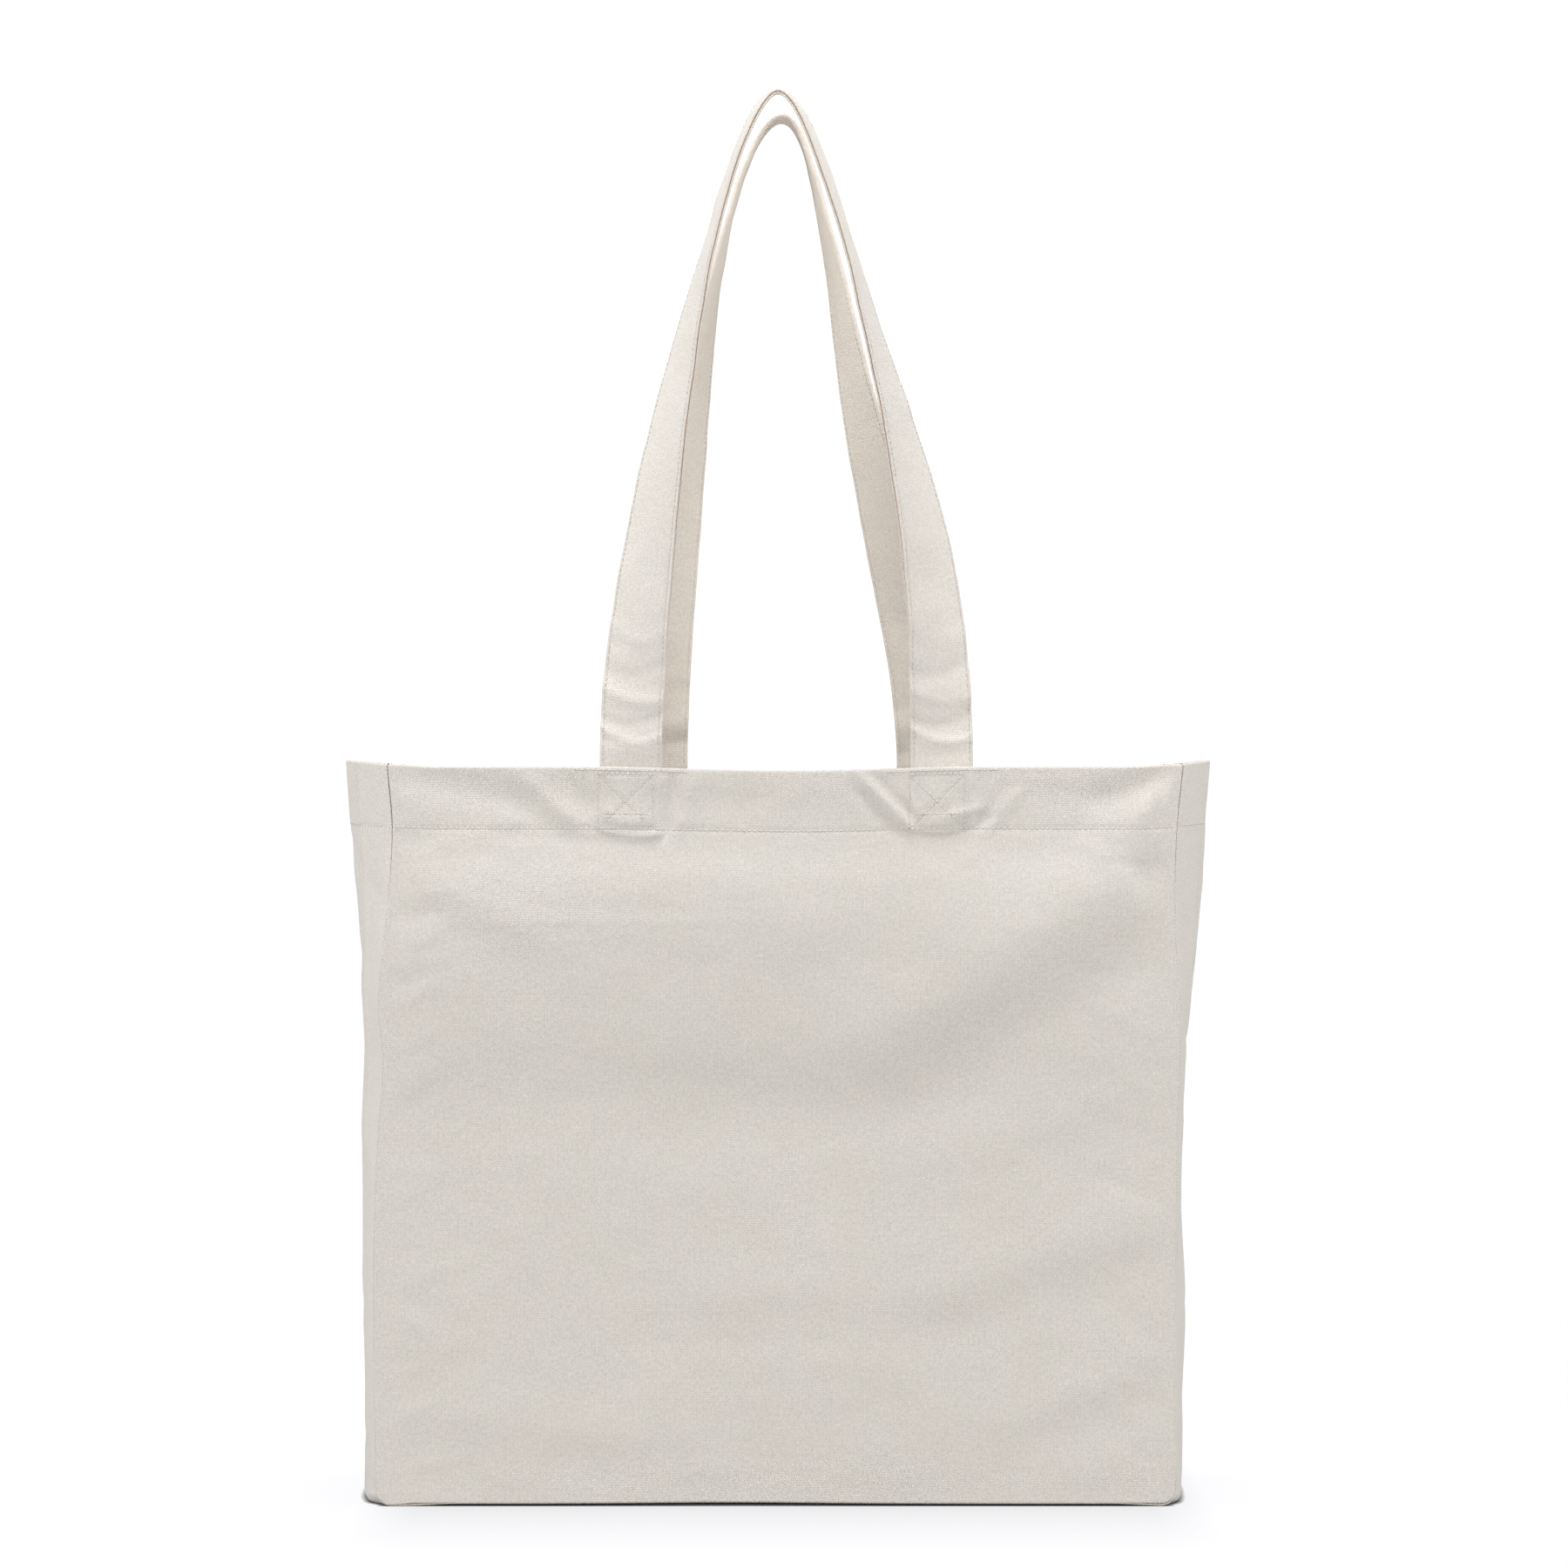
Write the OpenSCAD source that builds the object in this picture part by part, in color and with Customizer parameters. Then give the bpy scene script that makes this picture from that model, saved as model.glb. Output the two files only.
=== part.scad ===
// Canvas tote bag with a boxed gusset and two folded strap handles.
// The bag stands open. The origin is at the middle of the base, +Z is up, the front faces -Y.
// All lengths are in mm and all angles are in degrees.

/* [Shown] */
// Sub-part to draw, or all of them

/* [Bag body] */
// Width across the front panel, seam to seam
body_w = 385; // [250:5:500]
// Height from the base to the top of the hem
body_h = 355; // [250:5:450]
// Depth of the gusset, front to back
body_d = 120; // [60:5:200]
// Radius of the two bottom corners
corner_r = 8; // [4:1:30]
// How far the open side gussets swell outwards at the mouth
gusset_bulge = 18; // [4:1:30]
// Thickness of one canvas layer
cloth_t = 0.8; // [0.4:0.1:1.2]
// Height of the turned hem
hem_h = 32; // [20:1:50]
// Width of the seam allowance inside the bag
seam_w = 10; // [6:1:15]

/* [Handles] */
// Width of a strap
strap_w = 30; // [20:1:50]
// Thickness of a strap, four layers pressed
strap_t = 2.4; // [1.6:0.1:4]
// Length of strap sewn inside the hem
sewn_len = 29; // [20:1:40]
// Rise of the front handle from its hinge line to the middle of the strap
front_rise = 319.5; // [150:0.5:400]
// Distance between the legs of the front handle at the mouth
front_gap = 149; // [100:1:200]
// Sideways place of the front handle's middle at the mouth
front_shift = 0.5; // [-10:0.5:10]
// Rise of the back handle from its hinge line to the middle of the strap
back_rise = 321.5; // [150:0.5:400]
// Distance between the legs of the back handle at the mouth
back_gap = 135; // [100:1:200]
// Sideways place of the back handle's middle at the mouth
back_shift = 3.5; // [-10:0.5:10]

/* [Stitching] */
// Length of one stitch
stitch_len = 3; // [2:0.5:4]
// Distance from one stitch to the next
stitch_pitch = 4.5; // [3:0.5:6]
// Width of the thread
thread_w = 0.6; // [0.3:0.1:1]
// How far the thread stands proud of the cloth
thread_h = 0.35; // [0.2:0.05:0.6]
// Distance from the hem's lower edge up to its stitching
hem_stitch_up = 2; // [1:0.5:5]
// Distance from the mouth down to the edge stitching
edge_stitch_down = 2.5; // [2:0.5:5]
// Distance from a strap's edge to its topstitching
strap_stitch_in = 2.5; // [2:0.5:5]

/* [Hidden] */
half_w = body_w / 2;
half_d = body_d / 2;
hem_t = 2 * cloth_t;
hem_z = body_h - hem_h;
hem_in = half_d - cloth_t - hem_t;
// Gap between the moving gussets and the pieces beside them
play = 0.4;
gusset_y = hem_in - play;
gusset_z = corner_r + play;
gusset_rows = 14;
gusset_cols = 12;
hem_rows = 3;
// Share of the mouth's swell that is left at a side gusset's foot
foot_swell = 0.12;
// Room between two curved layers, so that their flat facets don't cross
layer_gap = 0.1;
// The handles fold about a line just above the mouth
pivot_z = body_h + 1.5;
// Face of a strap that looks at the hem, and the strap's middle
strap_near = hem_in - 0.6;
strap_y = strap_near - strap_t / 2;
// The sewn ends stop just under the fold line, and the free strap starts just over it
sewn_z = body_h - sewn_len;
sewn_top = pivot_z - 0.4;
free_z = pivot_z + 0.3;
box_size = strap_w - 5;
// Length of each run of edge stitching
edge_run = 54;
// The thread on a twisted strap runs just clear of the strap's flat facets
thread_lift = 0.2;
leg_steps = 40;
// Share of a handle's rise at which its legs pass their middle control point
middle_at = 0.55;
// Angle a strap has turned by at the crown, and share of the rise over which it does so
crown_turn = 84;
twist_end = 0.76;
canvas = [0.86, 0.84, 0.80];
canvas_in = [0.80, 0.77, 0.71];
thread = [0.93, 0.91, 0.86];

// ---------- shapes shared by several pieces ----------

// Flat outline with two rounded bottom corners, inset from the bag's own outline
module outline(inset, top) {
    r = corner_r - inset;
    translate([-half_w + inset, corner_r])
        square([body_w - 2 * inset, top - corner_r]);
    translate([-half_w + corner_r, inset])
        square([body_w - 2 * corner_r, corner_r - inset]);
    for (side = [-1, 1])
        translate([side * (half_w - corner_r), corner_r])
            circle(r = r, $fn = 48);
}

// Stands a flat outline up, from distance y0 to y1 in front of the middle
module stand(y0, y1) {
    translate([0, -y0, 0])
        rotate([90, 0, 0])
            linear_extrude(height = y1 - y0)
                children();
}

// Swell of a side gusset at a distance y from its middle and a height z
function swell(y, z) = gusset_bulge * cos(90 * y / gusset_y)
    * (foot_swell + (1 - foot_swell) * (z - gusset_z) / (body_h - gusset_z));

// Curved sheet on one side gusset, between two depths from its outer face
module side_sheet(side, z0, z1, rows, d0, d1) {
    cols = gusset_cols;
    ys = [for (i = [0 : cols]) -gusset_y + 2 * gusset_y * i / cols];
    zs = [for (j = [0 : rows]) z0 + (z1 - z0) * j / rows];
    n = (cols + 1) * (rows + 1);
    pts = [for (d = [d0, d1])
        for (z = zs)
            for (y = ys)
                [side * (half_w - d + swell(y, z)), y, z]];
    function at(k, i, j) = k * n + j * (cols + 1) + i;
    outer = [for (j = [0 : rows - 1])
        for (i = [0 : cols - 1])
            for (f = [[at(0, i, j), at(0, i, j + 1), at(0, i + 1, j)],
                    [at(0, i + 1, j), at(0, i, j + 1), at(0, i + 1, j + 1)]])
                f];
    inner = [for (j = [0 : rows - 1])
        for (i = [0 : cols - 1])
            for (f = [[at(1, i, j), at(1, i + 1, j), at(1, i, j + 1)],
                    [at(1, i + 1, j), at(1, i + 1, j + 1), at(1, i, j + 1)]])
                f];
    ends = [for (j = [0 : rows - 1])
        for (f = [[at(0, 0, j), at(1, 0, j), at(0, 0, j + 1)],
                [at(1, 0, j), at(1, 0, j + 1), at(0, 0, j + 1)],
                [at(0, cols, j), at(0, cols, j + 1), at(1, cols, j)],
                [at(1, cols, j), at(0, cols, j + 1), at(1, cols, j + 1)]])
            f];
    edges = [for (i = [0 : cols - 1])
        for (f = [[at(0, i, 0), at(0, i + 1, 0), at(1, i, 0)],
                [at(1, i, 0), at(0, i + 1, 0), at(1, i + 1, 0)],
                [at(0, i, rows), at(1, i, rows), at(0, i + 1, rows)],
                [at(1, i, rows), at(1, i + 1, rows), at(0, i + 1, rows)]])
            f];
    faces = concat(outer, inner, ends, edges);
    flip = [for (f = faces) [f[0], f[2], f[1]]];
    polyhedron(points = pts, faces = side > 0 ? faces : flip);
}

// Row of stitches along +X, standing on the XZ plane and proud towards -Y
module stitch_row(length) {
    count = floor(length / stitch_pitch);
    first = -(count - 1) * stitch_pitch / 2;
    for (k = [0 : count - 1])
        translate([first + k * stitch_pitch - stitch_len / 2, -thread_h, -thread_w / 2])
            cube([stitch_len, thread_h, thread_w]);
}

// Square of stitches with a cross inside it
module box_and_cross() {
    reach = box_size / 2;
    for (turn = [0 : 90 : 270])
        rotate([0, turn, 0])
            translate([0, 0, reach])
                stitch_row(box_size - stitch_pitch);
    for (turn = [45, 135])
        rotate([0, turn, 0])
            for (side = [-1, 1])
                translate([side * reach * 0.66, 0, 0])
                    stitch_row(reach * 0.95);
    rotate([0, 45, 0])
        translate([-stitch_len / 2, -thread_h, -thread_w / 2])
            cube([stitch_len, thread_h, thread_w]);
}

// ---------- path of a handle ----------

// Point and direction on a curve of any number of control points
function halfway(p, t) = [for (i = [0 : len(p) - 2]) (1 - t) * p[i] + t * p[i + 1]];
function bez(p, t) = len(p) == 1 ? p[0] : bez(halfway(p, t), t);
function bez_way(p, t) = len(p) == 2 ? p[1] - p[0] : bez_way(halfway(p, t), t);
function unit(v) = v / norm(v);

// Control points of one leg from the mouth to the crown. Each leg leaves the mouth upright,
// then leans in through a middle point, and meets the other leg level at the crown
function leg(x, low, middle, crown_side, crown, rise) = [
    [x, free_z],
    [x, free_z + low * rise],
    [middle, free_z + middle_at * rise],
    [crown_side, free_z + rise],
    [crown, free_z + rise]];
front_legs = [
    leg(front_shift - front_gap / 2, 0.2, -58, -24.5, -3.5, front_rise),
    leg(front_shift + front_gap / 2, 0.5, 36, 22.5, -3.5, front_rise)];
back_legs = [
    leg(back_shift - back_gap / 2, 0.25, -43.5, -30.5, -1.5, back_rise),
    leg(back_shift + back_gap / 2, 0.27, 18, 25, -1.5, back_rise)];

// Turn of the strap at a share of its rise
function turn_at(h) = crown_turn * min(1, h / twist_end);

// One station of a handle: centre, width direction and outer face direction
function station(path, t, side, facing) = let (
        c = bez(path, t),
        w = unit(bez_way(path, t)) * -side,
        out = [-w[1], 0, w[0]],
        a = turn_at((c[1] - free_z) / (path[4][1] - free_z)),
        flat = [0, facing, 0])
    [[c[0], facing * strap_y, c[1]], cos(a) * out - sin(a) * flat, cos(a) * flat + sin(a) * out];
function stations(legs, facing) = concat(
    [for (k = [0 : leg_steps]) station(legs[0], k / leg_steps, -1, facing)],
    [for (k = [leg_steps - 1 : -1 : 0]) station(legs[1], k / leg_steps, 1, facing)]);

// Sweep of a small outline along some stations. The outline runs [width, out]
module sweep(ring, outline, turned) {
    m = len(outline);
    last = len(ring) - 1;
    pts = [for (s = ring)
        for (q = outline)
            s[0] + q[0] * s[1] + q[1] * s[2]];
    walls = [for (i = [0 : last - 1])
        for (k = [0 : m - 1])
            for (f = [[i * m + k, i * m + (k + 1) % m, (i + 1) * m + k],
                    [(i + 1) * m + k, i * m + (k + 1) % m, (i + 1) * m + (k + 1) % m]])
                f];
    near = [for (k = [1 : m - 2]) [0, k + 1, k]];
    far = [for (k = [1 : m - 2]) [last * m, last * m + k, last * m + k + 1]];
    faces = concat(walls, near, far);
    flip = [for (f = faces) [f[0], f[2], f[1]]];
    polyhedron(points = pts, faces = turned ? flip : faces);
}

// Pressed strap section with softened edges
function strap_outline() = let (w = strap_w / 2, t = strap_t / 2, c = 0.5)
    [[w - c, -t], [w, -t + c], [w, t - c], [w - c, t],
        [-w + c, t], [-w, t - c], [-w, -t + c], [-w + c, -t]];
function thread_outline(side, face) = let (
        x = side * (strap_w / 2 - strap_stitch_in),
        a = face * (strap_t / 2 + thread_lift),
        b = face * (strap_t / 2 + thread_lift + thread_h))
    face > 0 ? [[x + thread_w / 2, a], [x + thread_w / 2, b], [x - thread_w / 2, b], [x - thread_w / 2, a]]
        : [[x - thread_w / 2, a], [x - thread_w / 2, b], [x + thread_w / 2, b], [x + thread_w / 2, a]];

module handle(legs, facing) {
    sweep(stations(legs, facing), strap_outline(), facing > 0);
}

module handle_stitching(legs, facing) {
    ring = stations(legs, facing);
    part = [for (k = [2 : len(ring) - 3]) ring[k]];
    for (side = [-1, 1])
        for (face = [-1, 1])
            sweep(part, thread_outline(side, face), facing > 0);
}

module handle_end(x, facing) {
    translate([x - strap_w / 2, facing > 0 ? strap_near - strap_t : -hem_in, sewn_z])
        cube([strap_w, hem_in - strap_near + strap_t, sewn_top - sewn_z]);
}

module hem_band(facing) {
    translate([-half_w + cloth_t, facing > 0 ? hem_in : -hem_in - hem_t, hem_z])
        cube([body_w - 2 * cloth_t, hem_t, hem_h]);
}

module hem_stitching(facing) {
    rotate([0, 0, facing > 0 ? 180 : 0])
        translate([0, -half_d, hem_z + hem_stitch_up])
            stitch_row(body_w - 10);
}

module side_stitching(side) {
    z = hem_z + hem_stitch_up;
    count = floor((2 * gusset_y - 4) / stitch_pitch);
    for (k = [0 : count - 1]) {
        y = (k - (count - 1) / 2) * stitch_pitch;
        slope = atan((swell(y + 1, z) - swell(y - 1, z)) / 2);
        translate([side * (half_w + swell(y, z) + 0.05), y, z])
            rotate([0, 0, -side * slope])
                translate([side > 0 ? 0 : -thread_h, -stitch_len / 2, -thread_w / 2])
                    cube([thread_h, stitch_len, thread_w]);
    }
}

module edge_stitching(facing, xs) {
    for (x = xs)
        rotate([0, 0, facing > 0 ? 180 : 0])
            translate([-facing * x, -half_d, body_h - edge_stitch_down])
                stitch_row(edge_run);
}

module box_stitch(x, facing) {
    z = body_h - edge_stitch_down - 1.5 - box_size / 2;
    rotate([0, 0, facing > 0 ? 180 : 0])
        translate([-facing * x, -half_d, z])
            box_and_cross();
    rotate([0, 0, facing > 0 ? 0 : 180])
        translate([facing * x, strap_near - strap_t, z])
            box_and_cross();
}

// ---------- pieces ----------

module front_panel() {
    color(canvas)
        stand(half_d - cloth_t, half_d)
            outline(0, body_h);
}

module back_panel() {
    color(canvas)
        stand(-half_d, cloth_t - half_d)
            outline(0, body_h);
}

module base_gusset() {
    color(canvas)
        stand(cloth_t - half_d, half_d - cloth_t)
            difference() {
                intersection() {
                    outline(0, body_h);
                    translate([-half_w, 0])
                        square([body_w, corner_r]);
                }
                outline(cloth_t, body_h);
            }
}

module left_gusset() {
    color(canvas)
        side_sheet(-1, gusset_z, body_h, gusset_rows, 0, cloth_t);
}

module right_gusset() {
    color(canvas)
        side_sheet(1, gusset_z, body_h, gusset_rows, 0, cloth_t);
}

module front_hem() {
    color(canvas_in)
        hem_band(-1);
}

module back_hem() {
    color(canvas_in)
        hem_band(1);
}

module left_hem() {
    color(canvas_in)
        side_sheet(-1, hem_z, body_h, hem_rows, cloth_t + layer_gap, cloth_t + hem_t);
}

module right_hem() {
    color(canvas_in)
        side_sheet(1, hem_z, body_h, hem_rows, cloth_t + layer_gap, cloth_t + hem_t);
}

module front_seam() {
    color(canvas_in)
        stand(hem_in, half_d - cloth_t)
            difference() {
                outline(cloth_t, hem_z);
                translate([cloth_t + seam_w - half_w, cloth_t + seam_w])
                    square([body_w - 2 * (cloth_t + seam_w), body_h]);
            }
}

module back_seam() {
    color(canvas_in)
        mirror([0, 1, 0])
            front_seam();
}

module front_left_handle_end() {
    color(canvas)
        handle_end(front_shift - front_gap / 2, -1);
}

module front_right_handle_end() {
    color(canvas)
        handle_end(front_shift + front_gap / 2, -1);
}

module back_left_handle_end() {
    color(canvas)
        handle_end(back_shift - back_gap / 2, 1);
}

module back_right_handle_end() {
    color(canvas)
        handle_end(back_shift + back_gap / 2, 1);
}

module front_handle() {
    color(canvas)
        handle(front_legs, -1);
}

module back_handle() {
    color(canvas)
        handle(back_legs, 1);
}

module front_hem_stitching() {
    color(thread)
        hem_stitching(-1);
}

module back_hem_stitching() {
    color(thread)
        hem_stitching(1);
}

module left_hem_stitching() {
    color(thread)
        side_stitching(-1);
}

module right_hem_stitching() {
    color(thread)
        side_stitching(1);
}

module front_edge_stitching() {
    color(thread)
        edge_stitching(-1, [front_shift - front_gap / 2, front_shift + front_gap / 2]);
}

module back_edge_stitching() {
    color(thread)
        edge_stitching(1, [back_shift - back_gap / 2, back_shift + back_gap / 2]);
}

module front_left_box_stitch() {
    color(thread)
        box_stitch(front_shift - front_gap / 2, -1);
}

module front_right_box_stitch() {
    color(thread)
        box_stitch(front_shift + front_gap / 2, -1);
}

module back_left_box_stitch() {
    color(thread)
        box_stitch(back_shift - back_gap / 2, 1);
}

module back_right_box_stitch() {
    color(thread)
        box_stitch(back_shift + back_gap / 2, 1);
}

module front_handle_stitching() {
    color(thread)
        handle_stitching(front_legs, -1);
}

module back_handle_stitching() {
    color(thread)
        handle_stitching(back_legs, 1);
}

front_panel();
back_panel();
base_gusset();
left_gusset();
right_gusset();
front_hem();
back_hem();
left_hem();
right_hem();
front_seam();
back_seam();
front_left_handle_end();
front_right_handle_end();
back_left_handle_end();
back_right_handle_end();
front_handle();
back_handle();
front_hem_stitching();
back_hem_stitching();
left_hem_stitching();
right_hem_stitching();
front_edge_stitching();
back_edge_stitching();
front_left_box_stitch();
front_right_box_stitch();
back_left_box_stitch();
back_right_box_stitch();
front_handle_stitching();
back_handle_stitching();
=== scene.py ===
"""Canvas tote bag with a boxed gusset and two folded strap handles.

Shapes are worked out in millimetres in the row frame, and scaled to metres as each mesh is made.
The front faces -Y. Every cloth piece is a real sheet with a thickness, and every stitch is a mesh.
"""
import functools
import math

import bpy
import numpy as np
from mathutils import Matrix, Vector

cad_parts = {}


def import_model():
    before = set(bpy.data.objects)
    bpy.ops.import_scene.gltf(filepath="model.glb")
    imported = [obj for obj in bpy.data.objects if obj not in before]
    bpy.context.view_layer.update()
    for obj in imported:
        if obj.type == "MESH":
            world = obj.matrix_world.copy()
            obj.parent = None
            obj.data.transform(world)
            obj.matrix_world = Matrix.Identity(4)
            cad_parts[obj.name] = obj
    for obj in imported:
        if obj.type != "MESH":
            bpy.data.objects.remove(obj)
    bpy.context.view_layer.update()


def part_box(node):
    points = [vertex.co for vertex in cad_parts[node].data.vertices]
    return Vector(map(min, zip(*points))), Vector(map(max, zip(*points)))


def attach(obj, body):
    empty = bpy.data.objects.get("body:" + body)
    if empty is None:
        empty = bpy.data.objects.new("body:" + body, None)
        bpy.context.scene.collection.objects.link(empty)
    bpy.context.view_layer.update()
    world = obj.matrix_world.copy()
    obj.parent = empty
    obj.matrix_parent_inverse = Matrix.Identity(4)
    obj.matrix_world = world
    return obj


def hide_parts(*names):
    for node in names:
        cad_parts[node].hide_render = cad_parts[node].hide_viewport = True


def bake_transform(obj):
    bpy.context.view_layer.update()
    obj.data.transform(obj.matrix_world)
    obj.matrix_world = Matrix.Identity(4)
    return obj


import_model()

MM = 0.001

# ---------- driving sizes, taken from model.glb where it holds them ----------


def span(node):
    """Lowest and highest corner of a CAD node, in millimetres."""
    low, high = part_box(node)
    return np.array(low) / MM, np.array(high) / MM


TOP = span("front_panel")[1][2]
HALF_D = span("back_panel")[1][1]
HEM_Z = span("front_hem")[0][2]
WORD = {-1: "front", 1: "back"}
SIDE_WORD = {-1: "left", 1: "right"}

CLOTH = 0.6        # one canvas layer
CORNER_R = 8.0     # bottom corners at the seams
CREASE_R = 3.0     # bottom corners between the seams, where the cloth is creased
FOLD_R = 0.34      # how tightly the cloth turns into a seam
HEM_T = 2.4        # outer layer and turned hem together
SEAM_W = 10.0      # seam allowance
STRAP_W = 30.0
STITCH_IN = 1.7    # from a strap's edge to its topstitching
PITCH = 2.6        # from one stitch to the next
STITCH = 2.1       # thread on top in one stitch
THREAD_R = 0.27
HEM_STITCH_Z = HEM_Z + 2.0
EDGE_STITCH_Z = TOP - 1.7
BOX = 13.1         # half the box that is sewn through each handle end
BOX_SHIFT = -2.5   # the boxes sit a little to one side of the straps
INSIDE_END = HEM_T + 4 * CLOTH + 0.15   # depth of a handle end's inner face
LEAN, LEAN_Z, LEAN_RISE = 1.9, 314.0, 52.0   # the hem leans in by this much, above this height

# ---------- small tools ----------


def smooth(t):
    t = np.clip(t, 0.0, 1.0)
    return t * t * (3.0 - 2.0 * t)


def through(knots, at):
    """Value at a place on a smooth run through a few (place, value) knots."""
    at = np.asarray(at, float)
    places = np.array([k[0] for k in knots], float)
    values = np.array([k[1] for k in knots], float)
    i = np.clip(np.searchsorted(places, at, side="right") - 1, 0, len(places) - 2)
    width = places[i + 1] - places[i]
    t = np.clip((at - places[i]) / width, 0.0, 1.0)
    slope = np.gradient(values, places)
    a = 2 * t**3 - 3 * t**2 + 1
    b = (t**3 - 2 * t**2 + t) * width
    c = -2 * t**3 + 3 * t**2
    d = (t**3 - t**2) * width
    return a * values[i] + b * slope[i] + c * values[i + 1] + d * slope[i + 1]


def noise(u, v, seed):
    """Smooth seeded noise from -1 to 1, with one lump to each unit."""
    grid = np.random.RandomState(seed).uniform(-1, 1, (97, 97))
    u = np.asarray(u, float) + 331.7
    v = np.asarray(v, float) + 217.3
    i, j = np.floor(u).astype(int), np.floor(v).astype(int)
    s, t = smooth(u - i), smooth(v - j)
    low = grid[i % 97, j % 97] * (1 - s) + grid[(i + 1) % 97, j % 97] * s
    high = grid[i % 97, (j + 1) % 97] * (1 - s) + grid[(i + 1) % 97, (j + 1) % 97] * s
    return low * (1 - t) + high * t


def along(x, z, a, b):
    """Place along the line from a to b, from 0 to 1, and distance from it to the left."""
    ax, az = b[0] - a[0], b[1] - a[1]
    length = math.hypot(ax, az)
    t = ((x - a[0]) * ax + (z - a[1]) * az) / length**2
    d = (-(x - a[0]) * az + (z - a[1]) * ax) / length
    return t, d


def ends(t, ease):
    return smooth((t + ease) / (2 * ease)) * smooth((1 + ease - t) / (2 * ease))


def crease(x, z, a, b, width, height, ease=0.25):
    """A ridge, or a valley if height is negative, from a to b."""
    t, d = along(x, z, a, b)
    return height * np.exp(-((d / width) ** 2)) * ends(t, ease)


def fold(x, z, a, b, width, height, ease=0.25):
    """A ridge on the left of the line from a to b, and a valley on its right."""
    t, d = along(x, z, a, b)
    q = d / width
    return height * 2.33 * q * np.exp(-(q**2)) * ends(t, ease)


def pad(x, z, x0, x1, z0, z1, edge, low_edge):
    """A raised patch with soft sides. Its lower side has its own softness."""
    return (smooth((x - x0) / edge + 0.5) * smooth((x1 - x) / edge + 0.5)
            * smooth((z - z0) / low_edge + 0.5) * smooth((z1 - z) / edge + 0.5))


def spaced(marks):
    """Places from a few (place, step) marks, closer where the step is smaller."""
    out = [marks[0][0]]
    for (a, step), (b, _) in zip(marks, marks[1:]):
        count = max(1, round(abs((b - a) / step)))
        out += [a + (b - a) * (k + 1) / count for k in range(count)]
    return np.array(out, float)


def turn_in(radius, steps=7, dive=1.2):
    """How cloth turns into a seam: (distance from the corner, depth) pairs, flat side first."""
    centre = radius * (1 + math.sqrt(2))
    pairs = []
    for k in range(steps + 1):
        a = math.radians(135.0 * k / steps)
        pairs.append((centre - radius * math.sin(a), radius * (1 - math.cos(a))))
    last = pairs[-1]
    pairs.append((last[0] + dive * 0.707, last[1] + dive * 0.707))
    return pairs


TURN = turn_in(FOLD_R)
INSET = TURN[0][0]

# ---------- meshes ----------


def add_object(name, data):
    obj = bpy.data.objects.new(name, data)
    bpy.context.scene.collection.objects.link(obj)
    return obj


def point_normals(points, quads):
    a, b, c, d = (points[quads[:, k]] for k in range(4))
    n = np.cross(c - a, d - b)
    out = np.zeros_like(points)
    for k in range(4):
        np.add.at(out, quads[:, k], n)
    return out / np.maximum(np.linalg.norm(out, axis=1), 1e-12)[:, None]


def make_mesh(name, points, faces, uv, material, normals=None):
    """A smooth mesh from millimetre points. faces is an array of quads or triangles."""
    mesh = bpy.data.meshes.new(name)
    points = np.asarray(points, float) * MM
    faces = np.asarray(faces, np.int32)
    count, sides = faces.shape
    mesh.vertices.add(len(points))
    mesh.vertices.foreach_set("co", points.astype(np.float32).ravel())
    mesh.loops.add(count * sides)
    mesh.loops.foreach_set("vertex_index", faces.ravel())
    mesh.polygons.add(count)
    mesh.polygons.foreach_set("loop_start", np.arange(0, count * sides, sides, dtype=np.int32))
    mesh.polygons.foreach_set("loop_total", np.full(count, sides, np.int32))
    mesh.polygons.foreach_set("use_smooth", np.ones(count, bool))
    layer = mesh.uv_layers.new(name="Cloth")
    layer.data.foreach_set("uv", (np.asarray(uv, float) * MM)[faces.ravel()].astype(np.float32).ravel())
    mesh.update(calc_edges=True)
    mesh.validate()
    if normals is not None:
        mesh.normals_split_custom_set_from_vertices(normals.tolist())
    mesh.materials.append(material)
    return add_object(name, mesh)


def border(quads):
    """Directed edges that only one quad has."""
    sides = np.concatenate([quads[:, [k, (k + 1) % 4]] for k in range(4)])
    n = quads.max() + 1
    key = sides[:, 0].astype(np.int64) * n + sides[:, 1]
    back = sides[:, 1].astype(np.int64) * n + sides[:, 0]
    return sides[~np.isin(key, back)]


def cloth(name, points, quads, uv, material, thick=CLOTH, normals=None):
    """A sheet with a thickness. The points are its outer face, and the quads turn left round its normal."""
    points = np.asarray(points, float)
    quads = np.asarray(quads, np.int64)
    if normals is None:
        normals = point_normals(points, quads)
    inner = points - normals * thick
    n = len(points)
    edges = border(quads)
    rim = np.stack([edges[:, 1], edges[:, 0], edges[:, 0] + n, edges[:, 1] + n], axis=1)
    faces = np.concatenate([quads, quads[:, ::-1] + n, rim])
    both = np.concatenate([normals, -normals])
    return make_mesh(f"{name}_cloth", np.concatenate([points, inner]), faces,
                     np.concatenate([uv, uv]), material, both)


def grid_quads(rows, cols, first=0):
    """Quads of a grid of points stored row by row."""
    k = first + np.arange(rows * cols).reshape(rows, cols)
    return np.stack([k[:-1, :-1], k[:-1, 1:], k[1:, 1:], k[1:, :-1]], axis=-1).reshape(-1, 4)


# ---------- shape of the soft bag ----------

# Where the four upright seams run, by face and side: (height, sideways place)
SEAMS = {
    (-1, -1): ((0, -196), (60, -197), (130, -197), (180, -195), (215, -193), (240, -195), (265, -193),
               (295, -190), (325, -188.5), (355, -191)),
    (-1, 1): ((0, 187), (110, 187), (180, 188), (235, 189), (275, 187), (325, 188), (355, 191)),
    (1, -1): ((0, -194), (90, -195), (200, -193), (290, -191), (355, -192)),
    (1, 1): ((0, 189), (120, 188), (220, 190), (300, 189), (355, 191))}
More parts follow.
